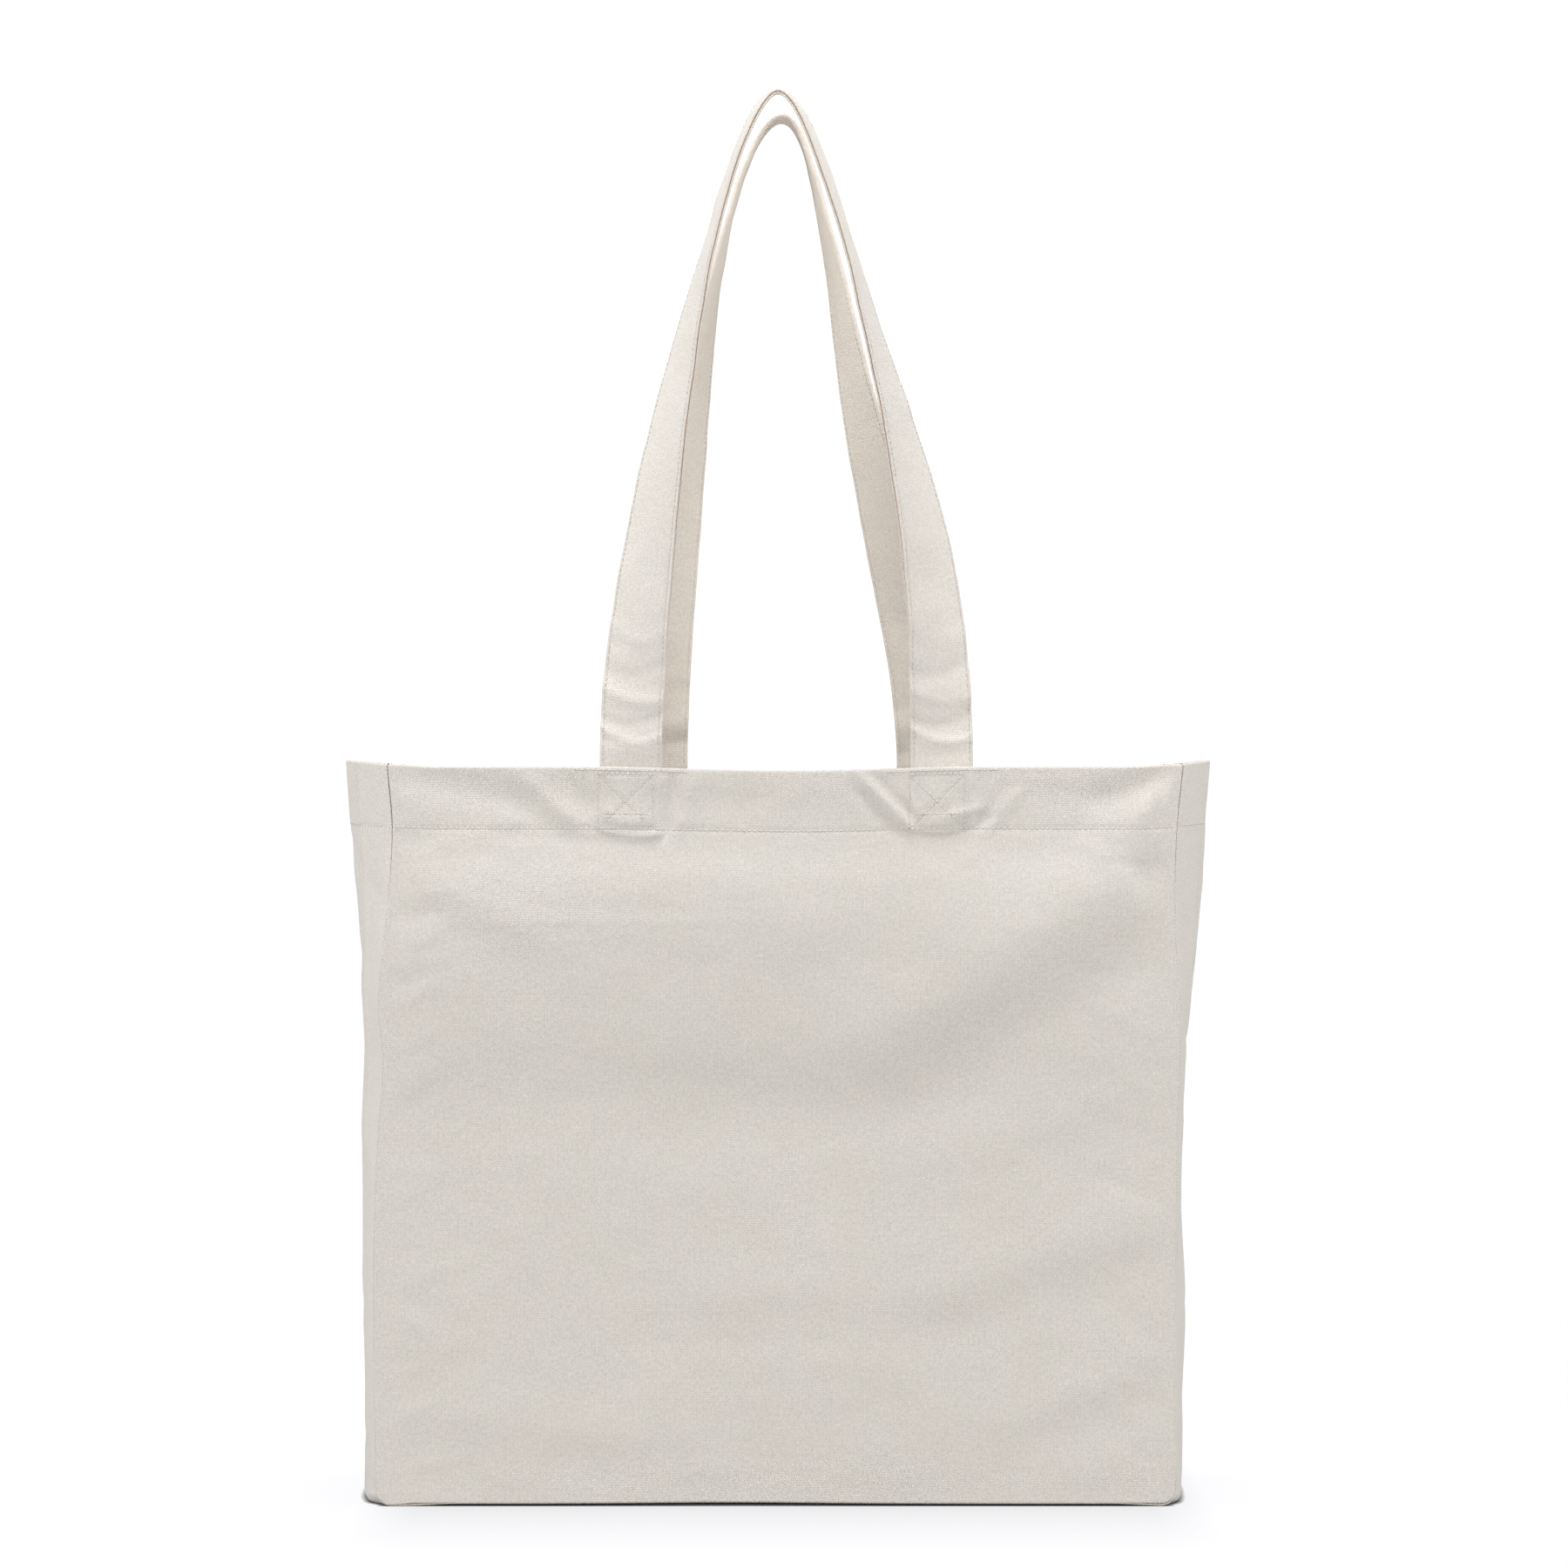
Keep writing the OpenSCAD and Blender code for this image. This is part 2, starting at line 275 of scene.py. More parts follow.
# How far each side swells out half way back: (height, distance)
LEFT_SWELL = ((0, 10), (20, 10.2), (60, 10.3), (120, 11.3), (200, 13.9), (240, 14.2), (281, 18.3),
              (303, 21.8), (320, 23.6), (355, 24.6))
RIGHT_SWELL = ((0, 5), (20, 6.5), (46, 6.8), (89, 9), (140, 6.5), (196, 6.2), (217, 7.2), (239, 10),
               (275, 15), (315, 18), (355, 18))
# How the front and back stand out of their flat plane down the middle: (height, distance)
FRONT_BELLY = ((0, 0), (25, 0.8), (60, 1.6), (110, 1.8), (160, 1.1), (195, 0.7), (225, 3.0), (255, 4.7),
               (283, 5.2), (300, 3.6), (316, 0.5), (325, -0.4), (340, 0.1), (355, 0.2))
BACK_BELLY = ((0, 0), (25, 0.9), (80, 2.4), (150, 2.8), (205, 2.2), (250, 3.4),
              (285, 3.6), (303, 2.4), (316, 0.5), (325, -0.3), (340, 0.1), (355, 0.2))


def seam_x(face, side, z):
    """Sideways place of a seam. face is -1 for the front, side is -1 for the left."""
    return through(SEAMS[face, side], z)


def seam_in(z):
    """How far the mouth's corners are drawn in towards the middle of the bag."""
    return 3.0 * smooth((np.asarray(z, float) - 250.0) / 105.0)


def droop(x, z):
    """The mouth's edge hangs a little below its corners, and dips between the handles."""
    x = np.asarray(x, float)
    dip = 1.1 * smooth((190 - np.abs(x)) / 24) + 2.0 * np.cos(np.clip(x / 100.0, -1, 1) * math.pi / 2) ** 2
    return dip * smooth((z - 270.0) / 85.0)


def lift(x, face):
    """The bottom edges are held a little off the ground, and aren't quite straight."""
    where, wide, height = (-25, 60, 0.7) if face < 0 else (-40, 70, 0.6)
    x = np.asarray(x, float)
    return 1.0 * smooth((192 - np.abs(x)) / 16) + height * np.exp(-(((x - where) / wide) ** 2))


def sewn_places(face):
    """Sideways middle of the left and right handle ends."""
    boxes = [span(f"{WORD[face]}_{side}_handle_end") for side in ("left", "right")]
    return [(low[0] + high[0]) / 2 for low, high in boxes]


SEWN = {-1: sewn_places(-1), 1: sewn_places(1)}
SEWN_Z = span("front_left_handle_end")[0][2] - 6.0
BOX_Z = TOP - 3.5 - BOX
BAR_Z = BOX_Z - BOX + 7.0   # a row that closes the lower part of each box


def sewn_lines(x, z, x0):
    """Valleys that the box and cross pull into the cloth."""
    lx, lz = x - x0 - BOX_SHIFT, z - BOX_Z
    square = np.maximum(np.abs(lx), np.abs(lz))
    lines = 0.6 * np.exp(-(((square - BOX) / 0.9) ** 2))
    inside = smooth((BOX - square) / 1.5)
    for turn in (1, -1):
        lines = np.maximum(lines, inside * np.exp(-(((lx - turn * lz) / 1.1) ** 2)))
    lines = np.maximum(lines, inside * np.exp(-(((z - BAR_Z) / 1.0) ** 2)))
    return -0.26 * lines


def handle_end_shape(x, z, face):
    """The cloth stands out over each handle end."""
    out = np.zeros_like(x)
    for x0, tilt, low in zip(SEWN[face], (-0.07, 0.06), (0.0, 2.5)):
        level = z - tilt * (x - x0) - 0.012 * (x - x0) ** 2
        out += 1.4 * pad(x, level, x0 - 16.5, x0 + 15.5, SEWN_Z + low, TOP + 8, 6.0, 2.6)
        out += 0.5 * pad(x, level, x0 - 12, x0 + 11, BAR_Z - 6, BAR_Z, 4.0, 3.0)
        lumps = 0.35 * noise((x - x0) / 7, z / 7, 61 + face)
        out += lumps * pad(x, level, x0 - 15, x0 + 15, SEWN_Z, TOP, 7.0, 5.0)
        out += sewn_lines(x, z, x0)
    return out


# Folds of the panels: from (x, z) to (x, z), then width and height. A fold has its ridge on the left
FRONT_FOLDS = (
    (46, 203, 196, 303, 27, 2.5), (-70, 208, 60, 204, 27, 0.8), (72, 92, 192, 132, 17, 0.9),
    (-60, 92, 80, 93, 17, 0.5), (100, 28, 192, 70, 14, 0.65), (-165, 36, -66, 24, 14, 0.5),
    (96, 172, 188, 190, 18, 0.5), (-190, 300, -120, 268, 12, 0.6))
BACK_FOLDS = (
    (-190, 312, -40, 204, 20, 1.9), (60, 236, 180, 262, 20, 1.0), (-184, 84, -70, 26, 16, 0.9),
    (184, 130, 100, 66, 15, 0.8))
# Creases of the panels in the same form. A negative height is a valley
FRONT_CREASES = (
    (186, 306, 166, 300, 9, -2.0), (178, 326, 150, 322, 9, 1.1), (-188, 279, -10, 280, 2.2, 0.14),
    (-156, 83, 60, 84, 2.2, 0.12), (-194, 256, -160, 281, 5.5, 0.5), (-190, 244, -150, 262, 5.5, -0.35),
    (-190, 192, -148, 222, 7.0, 0.18), (76, 190, 73, 84, 5, 0.3), (-126, 196, -128, 92, 5, 0.3),
    (-194, 92, -166, 82, 5, 0.6), (-60, 60, -30, 6, 8, 0.4), (6, 40, 2, 92, 4, 0.2))
BACK_CREASES = (
    (-180, 279, 120, 280, 2.2, 0.14), (-90, 83, 150, 84, 2.2, 0.12), (92, 210, 88, 96, 5, 0.35),
    (-118, 200, -121, 80, 5, 0.35), (-192, 354, -140, 338, 7.0, -1.8), (192, 353, 130, 339, 8.0, -1.6))
# Slanting puckers beside the front handle ends, and the drawn corners of the mouth
FRONT_HEM_CREASES = (
    (-126, 350, -98, 326, 4.6, 1.3), (-132, 340, -106, 320, 4.6, -0.8), (-104, 350, -93, 334, 4.0, -0.9),
    (-54, 352, -57, 322, 3.2, -1.4), (-44, 351, -49, 325, 4.0, 0.9), (36, 352, 60, 325, 2.3, 2.1),
    (33, 346, 55, 321, 2.6, -1.2), (42, 352, 62, 331, 2.2, -0.9), (76, 331, 94, 335, 2.4, 0.8),
    (84, 325, 100, 331, 2.6, -0.9), (107, 346, 93, 328, 3.4, -0.7), (112, 344, 97, 324, 3.6, 0.8),
    (96, 322, 86, 308, 4.0, 0.4), (-84, 318, -140, 322, 3.5, -0.4), (-190, 352, -120, 338, 9.0, -1.7),
    (-130, 340, 20, 338, 8.0, -0.9), (192, 355, 146, 337, 7.0, -2.1), (192, 350, 168, 329, 6.0, 1.5),
    (-187, 336, -184, 342, 6.0, 0.8), (150, 341, 110, 340, 7.0, -0.7), (-190, 323, -178, 319, 2.6, -1.1),
    (190, 330, 184, 324, 2.8, -1.2), (10, 345, -14, 330, 6.0, 0.35), (140, 320, 156, 309, 5.0, 0.5))
# Puckers beside each back handle end, with x counted from its middle
BACK_END_CREASES = ((-46, 347, -21, 324, 4.2, 1.4), (-50, 339, -26, 320, 4.6, -0.9),
                    (20, 350, 18, 325, 3.5, -0.9), (38, 350, 26, 326, 4.6, 0.8))


def all_of(kind, x, z, rows):
    """The sum of the creases or folds in a table."""
    return sum(kind(x, z, row[:2], row[2:4], *row[4:]) for row in rows)


def seam_puckers(x, z, face):
    """Short slanting tugs where the cloth is held by its side seams."""
    rand = np.random.RandomState(31 + face)
    out = np.zeros_like(x)
    for side in (-1, 1):
        at = 14.0
        while at < HEM_Z - 6:
            edge = float(seam_x(face, side, at))
            reach, rise = rand.uniform(16, 50), rand.uniform(-4, 26)
            width, sign, height = rand.uniform(2.2, 4.6), rand.choice((-1, 1)), rand.uniform(0.2, 0.5)
            start, stop = (edge - side * 1.5, at), (edge - side * reach, at + rise)
            out += crease(x, z, start, stop, width, sign * height, 0.3)
            at += rand.uniform(9, 24)
    return out


def panel_folds(x, z, face):
    if face < 0:
        return (all_of(fold, x, z, FRONT_FOLDS) + all_of(crease, x, z, FRONT_CREASES)
                + all_of(crease, x, z, FRONT_HEM_CREASES))
    ends_too = sum(all_of(crease, x - x0, z, BACK_END_CREASES) for x0 in SEWN[1])
    return all_of(fold, x, z, BACK_FOLDS) + all_of(crease, x, z, BACK_CREASES) + ends_too


def panel_out(x, z, face):
    """How far a panel stands out of its flat plane."""
    x, z = np.asarray(x, float), np.asarray(z, float)
    left = seam_x(face, -1, z)
    right = seam_x(face, 1, z)
    edge = np.minimum(x - left, right - x)
    middle = 1.0 - np.clip(np.abs(2 * x - left - right) / (right - left), 0, 1) ** 5
    belly = through(FRONT_BELLY if face < 0 else BACK_BELLY, z)
    shape = (belly - LEAN * smooth((z - LEAN_Z) / LEAN_RISE)) * middle
    shape = shape + panel_folds(x, z, face) + seam_puckers(x, z, face)
    waves = 0.35 * noise(x / 34, z / 26, 5 + face) + 0.16 * noise(x / 13, z / 9, 8 + face)
    shape += waves * (0.35 + 0.65 * smooth((HEM_Z + 4 - z) / 14))
    shape += 0.07 * noise(x / 4.6, z / 3.4, 11 + face)
    shape += -0.3 * np.exp(-(((z - HEM_STITCH_Z) / 1.3) ** 2))
    shape += 0.10 * np.exp(-(((z - HEM_STITCH_Z) / 5) ** 2)) * noise(x / 3.0, z / 9, 21 + face)
    shape += handle_end_shape(x, z, face)
    held = smooth(edge / 14.0) * smooth(z / 16.0)
    return shape * held - seam_in(z) * np.exp(-np.maximum(edge, 0) / 38.0)


def place_panel(x, z, depth, face):
    """Millimetre points of a panel. depth is measured inwards from its outer face."""
    y = face * (HALF_D + panel_out(x, z, face) - depth)
    return np.stack([x, y, z - droop(x, z) + lift(x, face) * smooth((45 - z) / 45)], axis=-1)


def hem_rows(step_out, step_in):
    """(height, depth) pairs over the turned hem, from its hidden edge over the top and down."""
    r, q = HEM_T / 2, HEM_T / 4
    rows = [(HEM_Z + 5.0, r), (HEM_Z + 2.5, r)]
    rows += [(HEM_Z + q - q * math.sin(a), HEM_T - q - q * math.cos(a))
             for a in np.linspace(0, math.pi, 5)]
    rows += [(z, HEM_T) for z in spaced(((HEM_Z + q, step_in), (TOP - r, 0)))[1:-1]]
    rows += [(TOP - r + r * math.sin(a), r + r * math.cos(a)) for a in np.linspace(0, math.pi, 8)]
    rows += [(z, 0.0) for z in spaced(((TOP - r, step_out), (HEM_Z - 3, 0)))[1:]]
    return rows


def corner_arc(inset, steps, start, stop):
    """Points of a bottom corner's arc, seen from its centre."""
    r = CORNER_R - inset
    return [(r * math.cos(math.radians(a)), r * math.sin(math.radians(a)))
            for a in np.linspace(start, stop, steps)]


def panel(face, name, material):
    """Front or back panel with its turned hem, as one piece of cloth."""
    x_marks = []
    for x0 in SEWN[face]:
        x_marks += [(x0 - 22, 0.95), (x0 + 22, 2.3)]
    inner_x = spaced([(-180.0, 2.3)] + x_marks + [(172.0, 2.3), (172.1, 0)])[:-1]
    rows = hem_rows(0.95, 3.0)
    rows += [(z, 0.0) for z in spaced(((HEM_Z - 3, 1.6), (250, 2.6), (30, 0)))[1:]]
    straight = len(rows)
    low_z = list(spaced(((30, 2.2), (CORNER_R, 0)))[1:])
    arc = 5

    def side_points(side, inset):
        """One upright edge, from the hidden hem edge down to the middle of the corner."""
        points = []
        for z, depth in rows + [(z, 0.0) for z in low_z]:
            inner = depth / HEM_T
            shift = inset * (1 - inner) + (HEM_T + 0.2 + 0.3 * inset) * inner
            points.append((seam_x(face, side, z) - side * shift, z, depth))
        cx = seam_x(face, side, CORNER_R) - side * CORNER_R
        for dx, dz in corner_arc(inset, arc, 180, 225)[1:]:
            points.append((cx - side * dx, CORNER_R + dz, 0.0))
        return np.array(points, float)

    def bottom_points(inset):
        """The bottom edge, from the middle of one corner to the middle of the other."""
        points = []
        cx = seam_x(face, -1, CORNER_R) + CORNER_R
        points += [(cx + dx, CORNER_R + dz, 0.0) for dx, dz in corner_arc(inset, arc, 225, 270)]
        points += [(x, inset, 0.0) for x in inner_x]
        cx = seam_x(face, 1, CORNER_R) - CORNER_R
        points += [(cx + dx, CORNER_R + dz, 0.0) for dx, dz in corner_arc(inset, arc, 270, 315)]
        return np.array(points, float)

    left, right, bottom = side_points(-1, INSET), side_points(1, INSET), bottom_points(INSET)
    n_rows, n_cols = len(left), len(bottom)
    share = (bottom[:, 0] - bottom[0, 0]) / (bottom[-1, 0] - bottom[0, 0])
    grid = left[:, None, :] * (1 - share)[None, :, None] + right[:, None, :] * share[None, :, None]
    t = np.concatenate([np.zeros(straight), np.arange(1, n_rows - straight + 1) / (n_rows - straight)])
    grid[..., :2] += (t**2)[:, None, None] * (bottom[:, :2] - grid[-1, :, :2])

    flat = grid.reshape(-1, 3)
    quads = [grid_quads(n_rows, n_cols)]
    path = np.concatenate([np.arange(n_rows) * n_cols,
                           (n_rows - 1) * n_cols + np.arange(1, n_cols),
                           (np.arange(n_rows - 2, -1, -1)) * n_cols + n_cols - 1])
    rings, depth_add = [flat], [np.zeros(len(flat))]
    before = path
    first = len(flat)
    for inset, depth in TURN[1:]:
        ring = np.concatenate([side_points(-1, inset), bottom_points(inset)[1:],
                               side_points(1, inset)[-2::-1]])
        rings.append(ring)
        depth_add.append(depth * (1 - ring[:, 2] / HEM_T))
        now = first + np.arange(len(ring))
        quads.append(np.stack([before[:-1], before[1:], now[1:], now[:-1]], axis=-1))
        before, first = now, first + len(ring)
    flat = np.concatenate(rings)
    depth = flat[:, 2] + np.concatenate(depth_add)
    points = place_panel(flat[:, 0], flat[:, 1], depth, face)
    quads = np.concatenate(quads)
    if face < 0:
        quads = quads[:, ::-1]
    inner = np.where(flat[:, 2] > HEM_T * 0.5, 2 * TOP - flat[:, 1], flat[:, 1])
    uv = np.stack([flat[:, 0], inner], axis=-1)
    obj = cloth(name, points, quads, uv, material)
    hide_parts(f"{WORD[face]}_panel", f"{WORD[face]}_hem")
    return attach(obj, "bag")


# ---------- side gussets and base ----------

# Upright ridges of a gusset: (place, width, height). Its creases go from (y, z) to (y, z), with the
# width and height last
SIDE_RIDGES = {-1: ((-31, 6, 1.4), (22, 7, 0.8)), 1: ((-27, 7, 1.0), (33, 6, 0.9))}
SIDE_CREASES = {-1: ((-58, 285, 8, 322, 5, -0.9), (58, 236, -6, 262, 6, -0.8)),
                1: ((-58, 240, 4, 212, 6, -0.9), (58, 300, 0, 330, 5, -0.8))}
LOW_SIDE_CREASES = ((-57, 22, -22, 66, 4, -0.7), (57, 20, 25, 58, 5, 0.55), (-56, 12, -12, 30, 6, -0.7),
                    (56, 11, 10, 36, 4, 0.55), (-20, 84, 30, 118, 5, -0.7), (-58, 150, -20, 186, 6, 0.55))


def corner_creases(y, level):
    """Creases that fan out from the lower end of each seam. level is the height above that place."""
    away = HALF_D - np.abs(y)
    far = np.hypot(away, level)
    turn = np.arctan2(level, away)
    return 1.0 * np.cos(5 * turn + 0.9 + 0.5 * np.sign(y)) * np.exp(-far / 10) * smooth((far - 1) / 5)


def side_out(side, y, z):
    """How far a side gusset stands out of the line between its two seams."""
    y, z = np.asarray(y, float), np.asarray(z, float)
    knots = LEFT_SWELL if side < 0 else RIGHT_SWELL
    u = np.clip(y / HALF_D, -1, 1)
    bow = 0.6 * np.cos(u * math.pi / 2) + 0.4 * (1 - np.sqrt(u**2 + 0.006))
    low = smooth((30 - z) / 30)
    out = through(knots, z) * (np.maximum(bow, 0) * (1 - 0.6 * low) + 0.6 * (1 - u**4) * low)
    out += corner_creases(y, z - 5)
    high = smooth((z - 120) / 160)
    for place, width, height in SIDE_RIDGES[side]:
        out += height * high * np.exp(-(((y - place) / width) ** 2))
    out += all_of(crease, y, z, SIDE_CREASES[side])
    out += (1 if side < 0 else 0.8) * all_of(crease, y, z, LOW_SIDE_CREASES)
    out += 0.5 * noise(y / 26, z / 38, 41 + side) + 0.2 * noise(y / 10, z / 12, 44 + side)
    out += 0.07 * noise(y / 4.4, z / 3.6, 47 + side)
    out += -0.3 * np.exp(-(((z - HEM_STITCH_Z) / 1.3) ** 2))
    held = smooth((HALF_D - np.abs(y)) / 10)
    return out * held


def side_x(side, y, z):
    share = (np.asarray(y, float) / HALF_D + 1) / 2
    return (1 - share) * seam_x(-1, side, z) + share * seam_x(1, side, z) + side * side_out(side, y, z)


def mouth_rise(y, z):
    """The mouth's edge is a little higher where a side gusset bows out."""
    return 2.2 * np.cos(np.clip(y / HALF_D, -1, 1) * math.pi / 2) * smooth((z - 300) / 55)


def place_side(side, y, z, depth):
    """Millimetre points of a side gusset. depth is measured inwards from its outer face."""
    return np.stack([side_x(side, y, z) - side * depth, y, z + mouth_rise(y, z)], axis=-1)


def turned_columns():
    """(inset, depth) pairs across the whole width of a gusset, from one seam to the other."""
    roll = TURN[:0:-1]
    flat = [(d, 0.0) for d in spaced(((INSET, 1.6), (HALF_D, 1.6), (2 * HALF_D - INSET, 0)))]
    return np.array(roll + flat + [(2 * HALF_D - d, n) for d, n in TURN[1:]], float)


COLUMN_PLACE, COLUMN_DEPTH = turned_columns().T
COLUMN_SIDE = np.where(COLUMN_PLACE < HALF_D, -1, 1)
COLUMN_INSET = np.minimum(COLUMN_PLACE, 2 * HALF_D - COLUMN_PLACE)
MIDDLE = int(np.argmax(COLUMN_INSET))
FLANGE_Z = 12.0    # the base reaches this far up each side


def facing_quads(rows, cols, flip):
    quads = grid_quads(rows, cols)
    return quads[:, ::-1] if flip else quads


def follow_side(obj):
    """Bakes the piece's placement into its mesh."""
    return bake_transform(obj)


def side_gusset(side, name, material):
    """A side gusset with its turned hem, as a front and a back half that meet on its middle line."""
    rows = hem_rows(1.3, 3.0)
    rows += [(z, 0.0) for z in spaced(((HEM_Z - 3, 2.0), (FLANGE_Z + 2, 1.0), (6, 0)))[1:]]
    z, depth = np.array(rows, float).T[:, :, None]
    inner = depth / HEM_T
    inset = COLUMN_INSET + inner * np.maximum(HEM_T + 0.2 - 0.7 * COLUMN_INSET, 0)
    y = COLUMN_SIDE * (HALF_D - seam_in(z)) * (1 - inset / HALF_D)
    z = z + 0 * y
    under = smooth((FLANGE_Z + 0.5 - z) / 4) * (CLOTH + 0.3)
    points = place_side(side, y, z, depth + COLUMN_DEPTH * (1 - inner) + under)
    n_rows, n_cols = y.shape
    normals = point_normals(points.reshape(-1, 3), facing_quads(n_rows, n_cols, side > 0))
    normals = normals.reshape(points.shape)
    uv = np.stack([y + side * 300, np.where(depth > HEM_T / 2, 2 * TOP - z, z)], axis=-1)
    halves = []
    for face, cols in ((-1, slice(0, MIDDLE + 1)), (1, slice(MIDDLE, n_cols))):
        part = points[:, cols]
        obj = cloth(f"{name}_{WORD[face]}_half", part.reshape(-1, 3),
                    facing_quads(n_rows, part.shape[1], side > 0), uv[:, cols].reshape(-1, 2),
                    material, normals=normals[:, cols].reshape(-1, 3))
        halves.append(follow_side(obj))
    return halves


def base(name, material):
    """The base, turned up a little way at each side, where the side gussets tuck in behind it."""
    y = COLUMN_SIDE * (HALF_D - COLUMN_INSET)
    r = CREASE_R + (CORNER_R - CREASE_R) * smooth((np.abs(y) - 44) / 14)
    none = 0 * y

    def corner(side):
        """(place, outward direction, layer thickness) down one flange and round its corner."""
        steps = []
        for t in np.linspace(0, 1, 7):
            z = FLANGE_Z + (r - FLANGE_Z) * t
            where = np.stack([side_x(side, y, z), y, z], axis=-1)
            out = np.stack([side + none, none, none], axis=-1)
            steps.append((where, out, 0.1 + (CLOTH - 0.1) * smooth((FLANGE_Z - z) / 4)))
        centre = side_x(side, y, r) - side * r
        for a in np.radians(np.linspace(0, 90, 9))[1:]:
            out = np.stack([side * math.cos(a) + none, none, -math.sin(a) + none], axis=-1)
            swell = corner_creases(y, r - 5 - a * r) - corner_creases(y, r - 5)
            reach = r + swell * smooth((90 - math.degrees(a)) / 45)
            steps.append((np.stack([centre, y, r], axis=-1) + out * reach[:, None], out, CLOTH + none))
        return steps, centre

    left, x0 = corner(-1)
    right, x1 = corner(1)
    down = np.stack([none, none, none - 1], axis=-1)
    rows = left
    for t in np.linspace(0, 1, 181)[1:-1]:
        rows.append((np.stack([x0 + (x1 - x0) * t, y, none], axis=-1), down, CLOTH + none))
    rows += right[::-1]
    points = np.array([row[0] for row in rows])
    out = np.array([row[1] for row in rows])
    points -= out * COLUMN_DEPTH[None, :, None]
    x = points[..., 0]
    flat = smooth((CORNER_R - points[..., 2]) / CORNER_R) * smooth((185 - np.abs(x)) / 30)
    y = np.broadcast_to(y, x.shape)
    rise = lift(x, -1) * smooth((20 - y) / 80) + lift(x, 1) * smooth((20 + y) / 80)
    rise += 0.35 * (1 + noise(x / 40, y / 30, 71)) * smooth((HALF_D - np.abs(y)) / 20)
    points[..., 2] += rise * flat
    thick = np.array([row[2] for row in rows]).reshape(-1, 1)
    uv = np.stack([y, np.arange(len(rows))[:, None] * 2.1 + 0 * y], axis=-1).reshape(-1, 2)
    obj = cloth(name, points.reshape(-1, 3), facing_quads(len(rows), len(COLUMN_INSET), False),
                uv, material, thick)
    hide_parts("base_gusset")
    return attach(obj, "bag")


def seam_allowance(face, name, material):
    """The turned-in seam edge, two layers lying flat against the inside of a panel."""
    deep = CLOTH + 0.15 + 2 * CLOTH
    low = list(spaced(((HEM_Z - 0.5, 2.5), (CORNER_R + 3, 0))))
    rings = []
    for inset in np.linspace(1.6, 1.6 + SEAM_W, 7):
        r = max(CORNER_R - inset, 0.4)
        wave = 0.25 * noise(np.array(low) / 7, inset / 30, 81 + face)
        ring = []
        for side, order in ((-1, 1), (1, -1)):
            up = [(seam_x(face, side, z) - side * (inset + w), z) for z, w in zip(low, wave)]
            cx = seam_x(face, side, CORNER_R) - side * (inset + r)
            up += [(cx - side * dx, inset + r + dz)
                   for dx, dz in corner_arc(CORNER_R - r, 7, 180, 270)]
            ring.append(up[::order])
        start, stop = ring[0][-1][0], ring[1][0][0]
        level = [(x, inset) for x in np.linspace(start, stop, 120)[1:-1]]
        rings.append(ring[0] + level + ring[1])
    rings = np.array(rings, float)
    deep = deep + 0.1 * noise(rings[..., 0] / 6, rings[..., 1] / 6, 83)
    points = place_panel(rings[..., 0], rings[..., 1], deep, face)
    n_rows, n_cols = rings.shape[:2]
    quads = facing_quads(n_rows, n_cols, face < 0)
    obj = cloth(name, points.reshape(-1, 3), quads, rings.reshape(-1, 2), material, 2 * CLOTH)
    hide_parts(name)
    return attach(obj, "bag")


# ---------- straps ----------

FREE_Z = span("front_handle")[0][2]
CROWN_TURN = {-1: 83.0, 1: 94.0}   # degrees a strap has turned by at its crown
SEWN_DEPTH = HEM_T + 2 * CLOTH
HALF_STRAP = STRAP_W / 2
STRAP_STITCH = HALF_STRAP - STITCH_IN
# Each leg's middle, crown side and crown places, then the shares of the rise over which it goes
# straight up and over which it makes its turn. The middles, crown sides and straight shares came from a
# search that fitted this curve to the handles' outlines in the photo, and were then rounded.
# Two of the middles were changed afterwards
LEGS = {-1: ((-58, -24.5, -3.5, 0.2, 0.755), (34.6, 22.5, -3.5, 0.5, 0.7)),
        1: ((-45, -30.5, -1.5, 0.25, 0.84), (18, 25, -1.5, 0.27, 0.92))}
RISE = {-1: 320.6, 1: 323.0}
# Creases across each leg just above the mouth: (height, slope, ridge or valley)
STRAP_CREASES = ((9, 0.12, 0.9), (17, -0.1, -0.8), (28, 0.16, 0.8), (41, -0.14, -0.7), (58, 0.1, 0.5))


def curve(points, t):
    """Point and direction on a curve through control points."""
    p = [np.array(q, float)[None, :] for q in points]
    t = t[:, None]
    while len(p) > 2:
        p = [(1 - t) * a + t * b for a, b in zip(p, p[1:])]
    return (1 - t) * p[0] + t * p[1], p[1] - p[0]


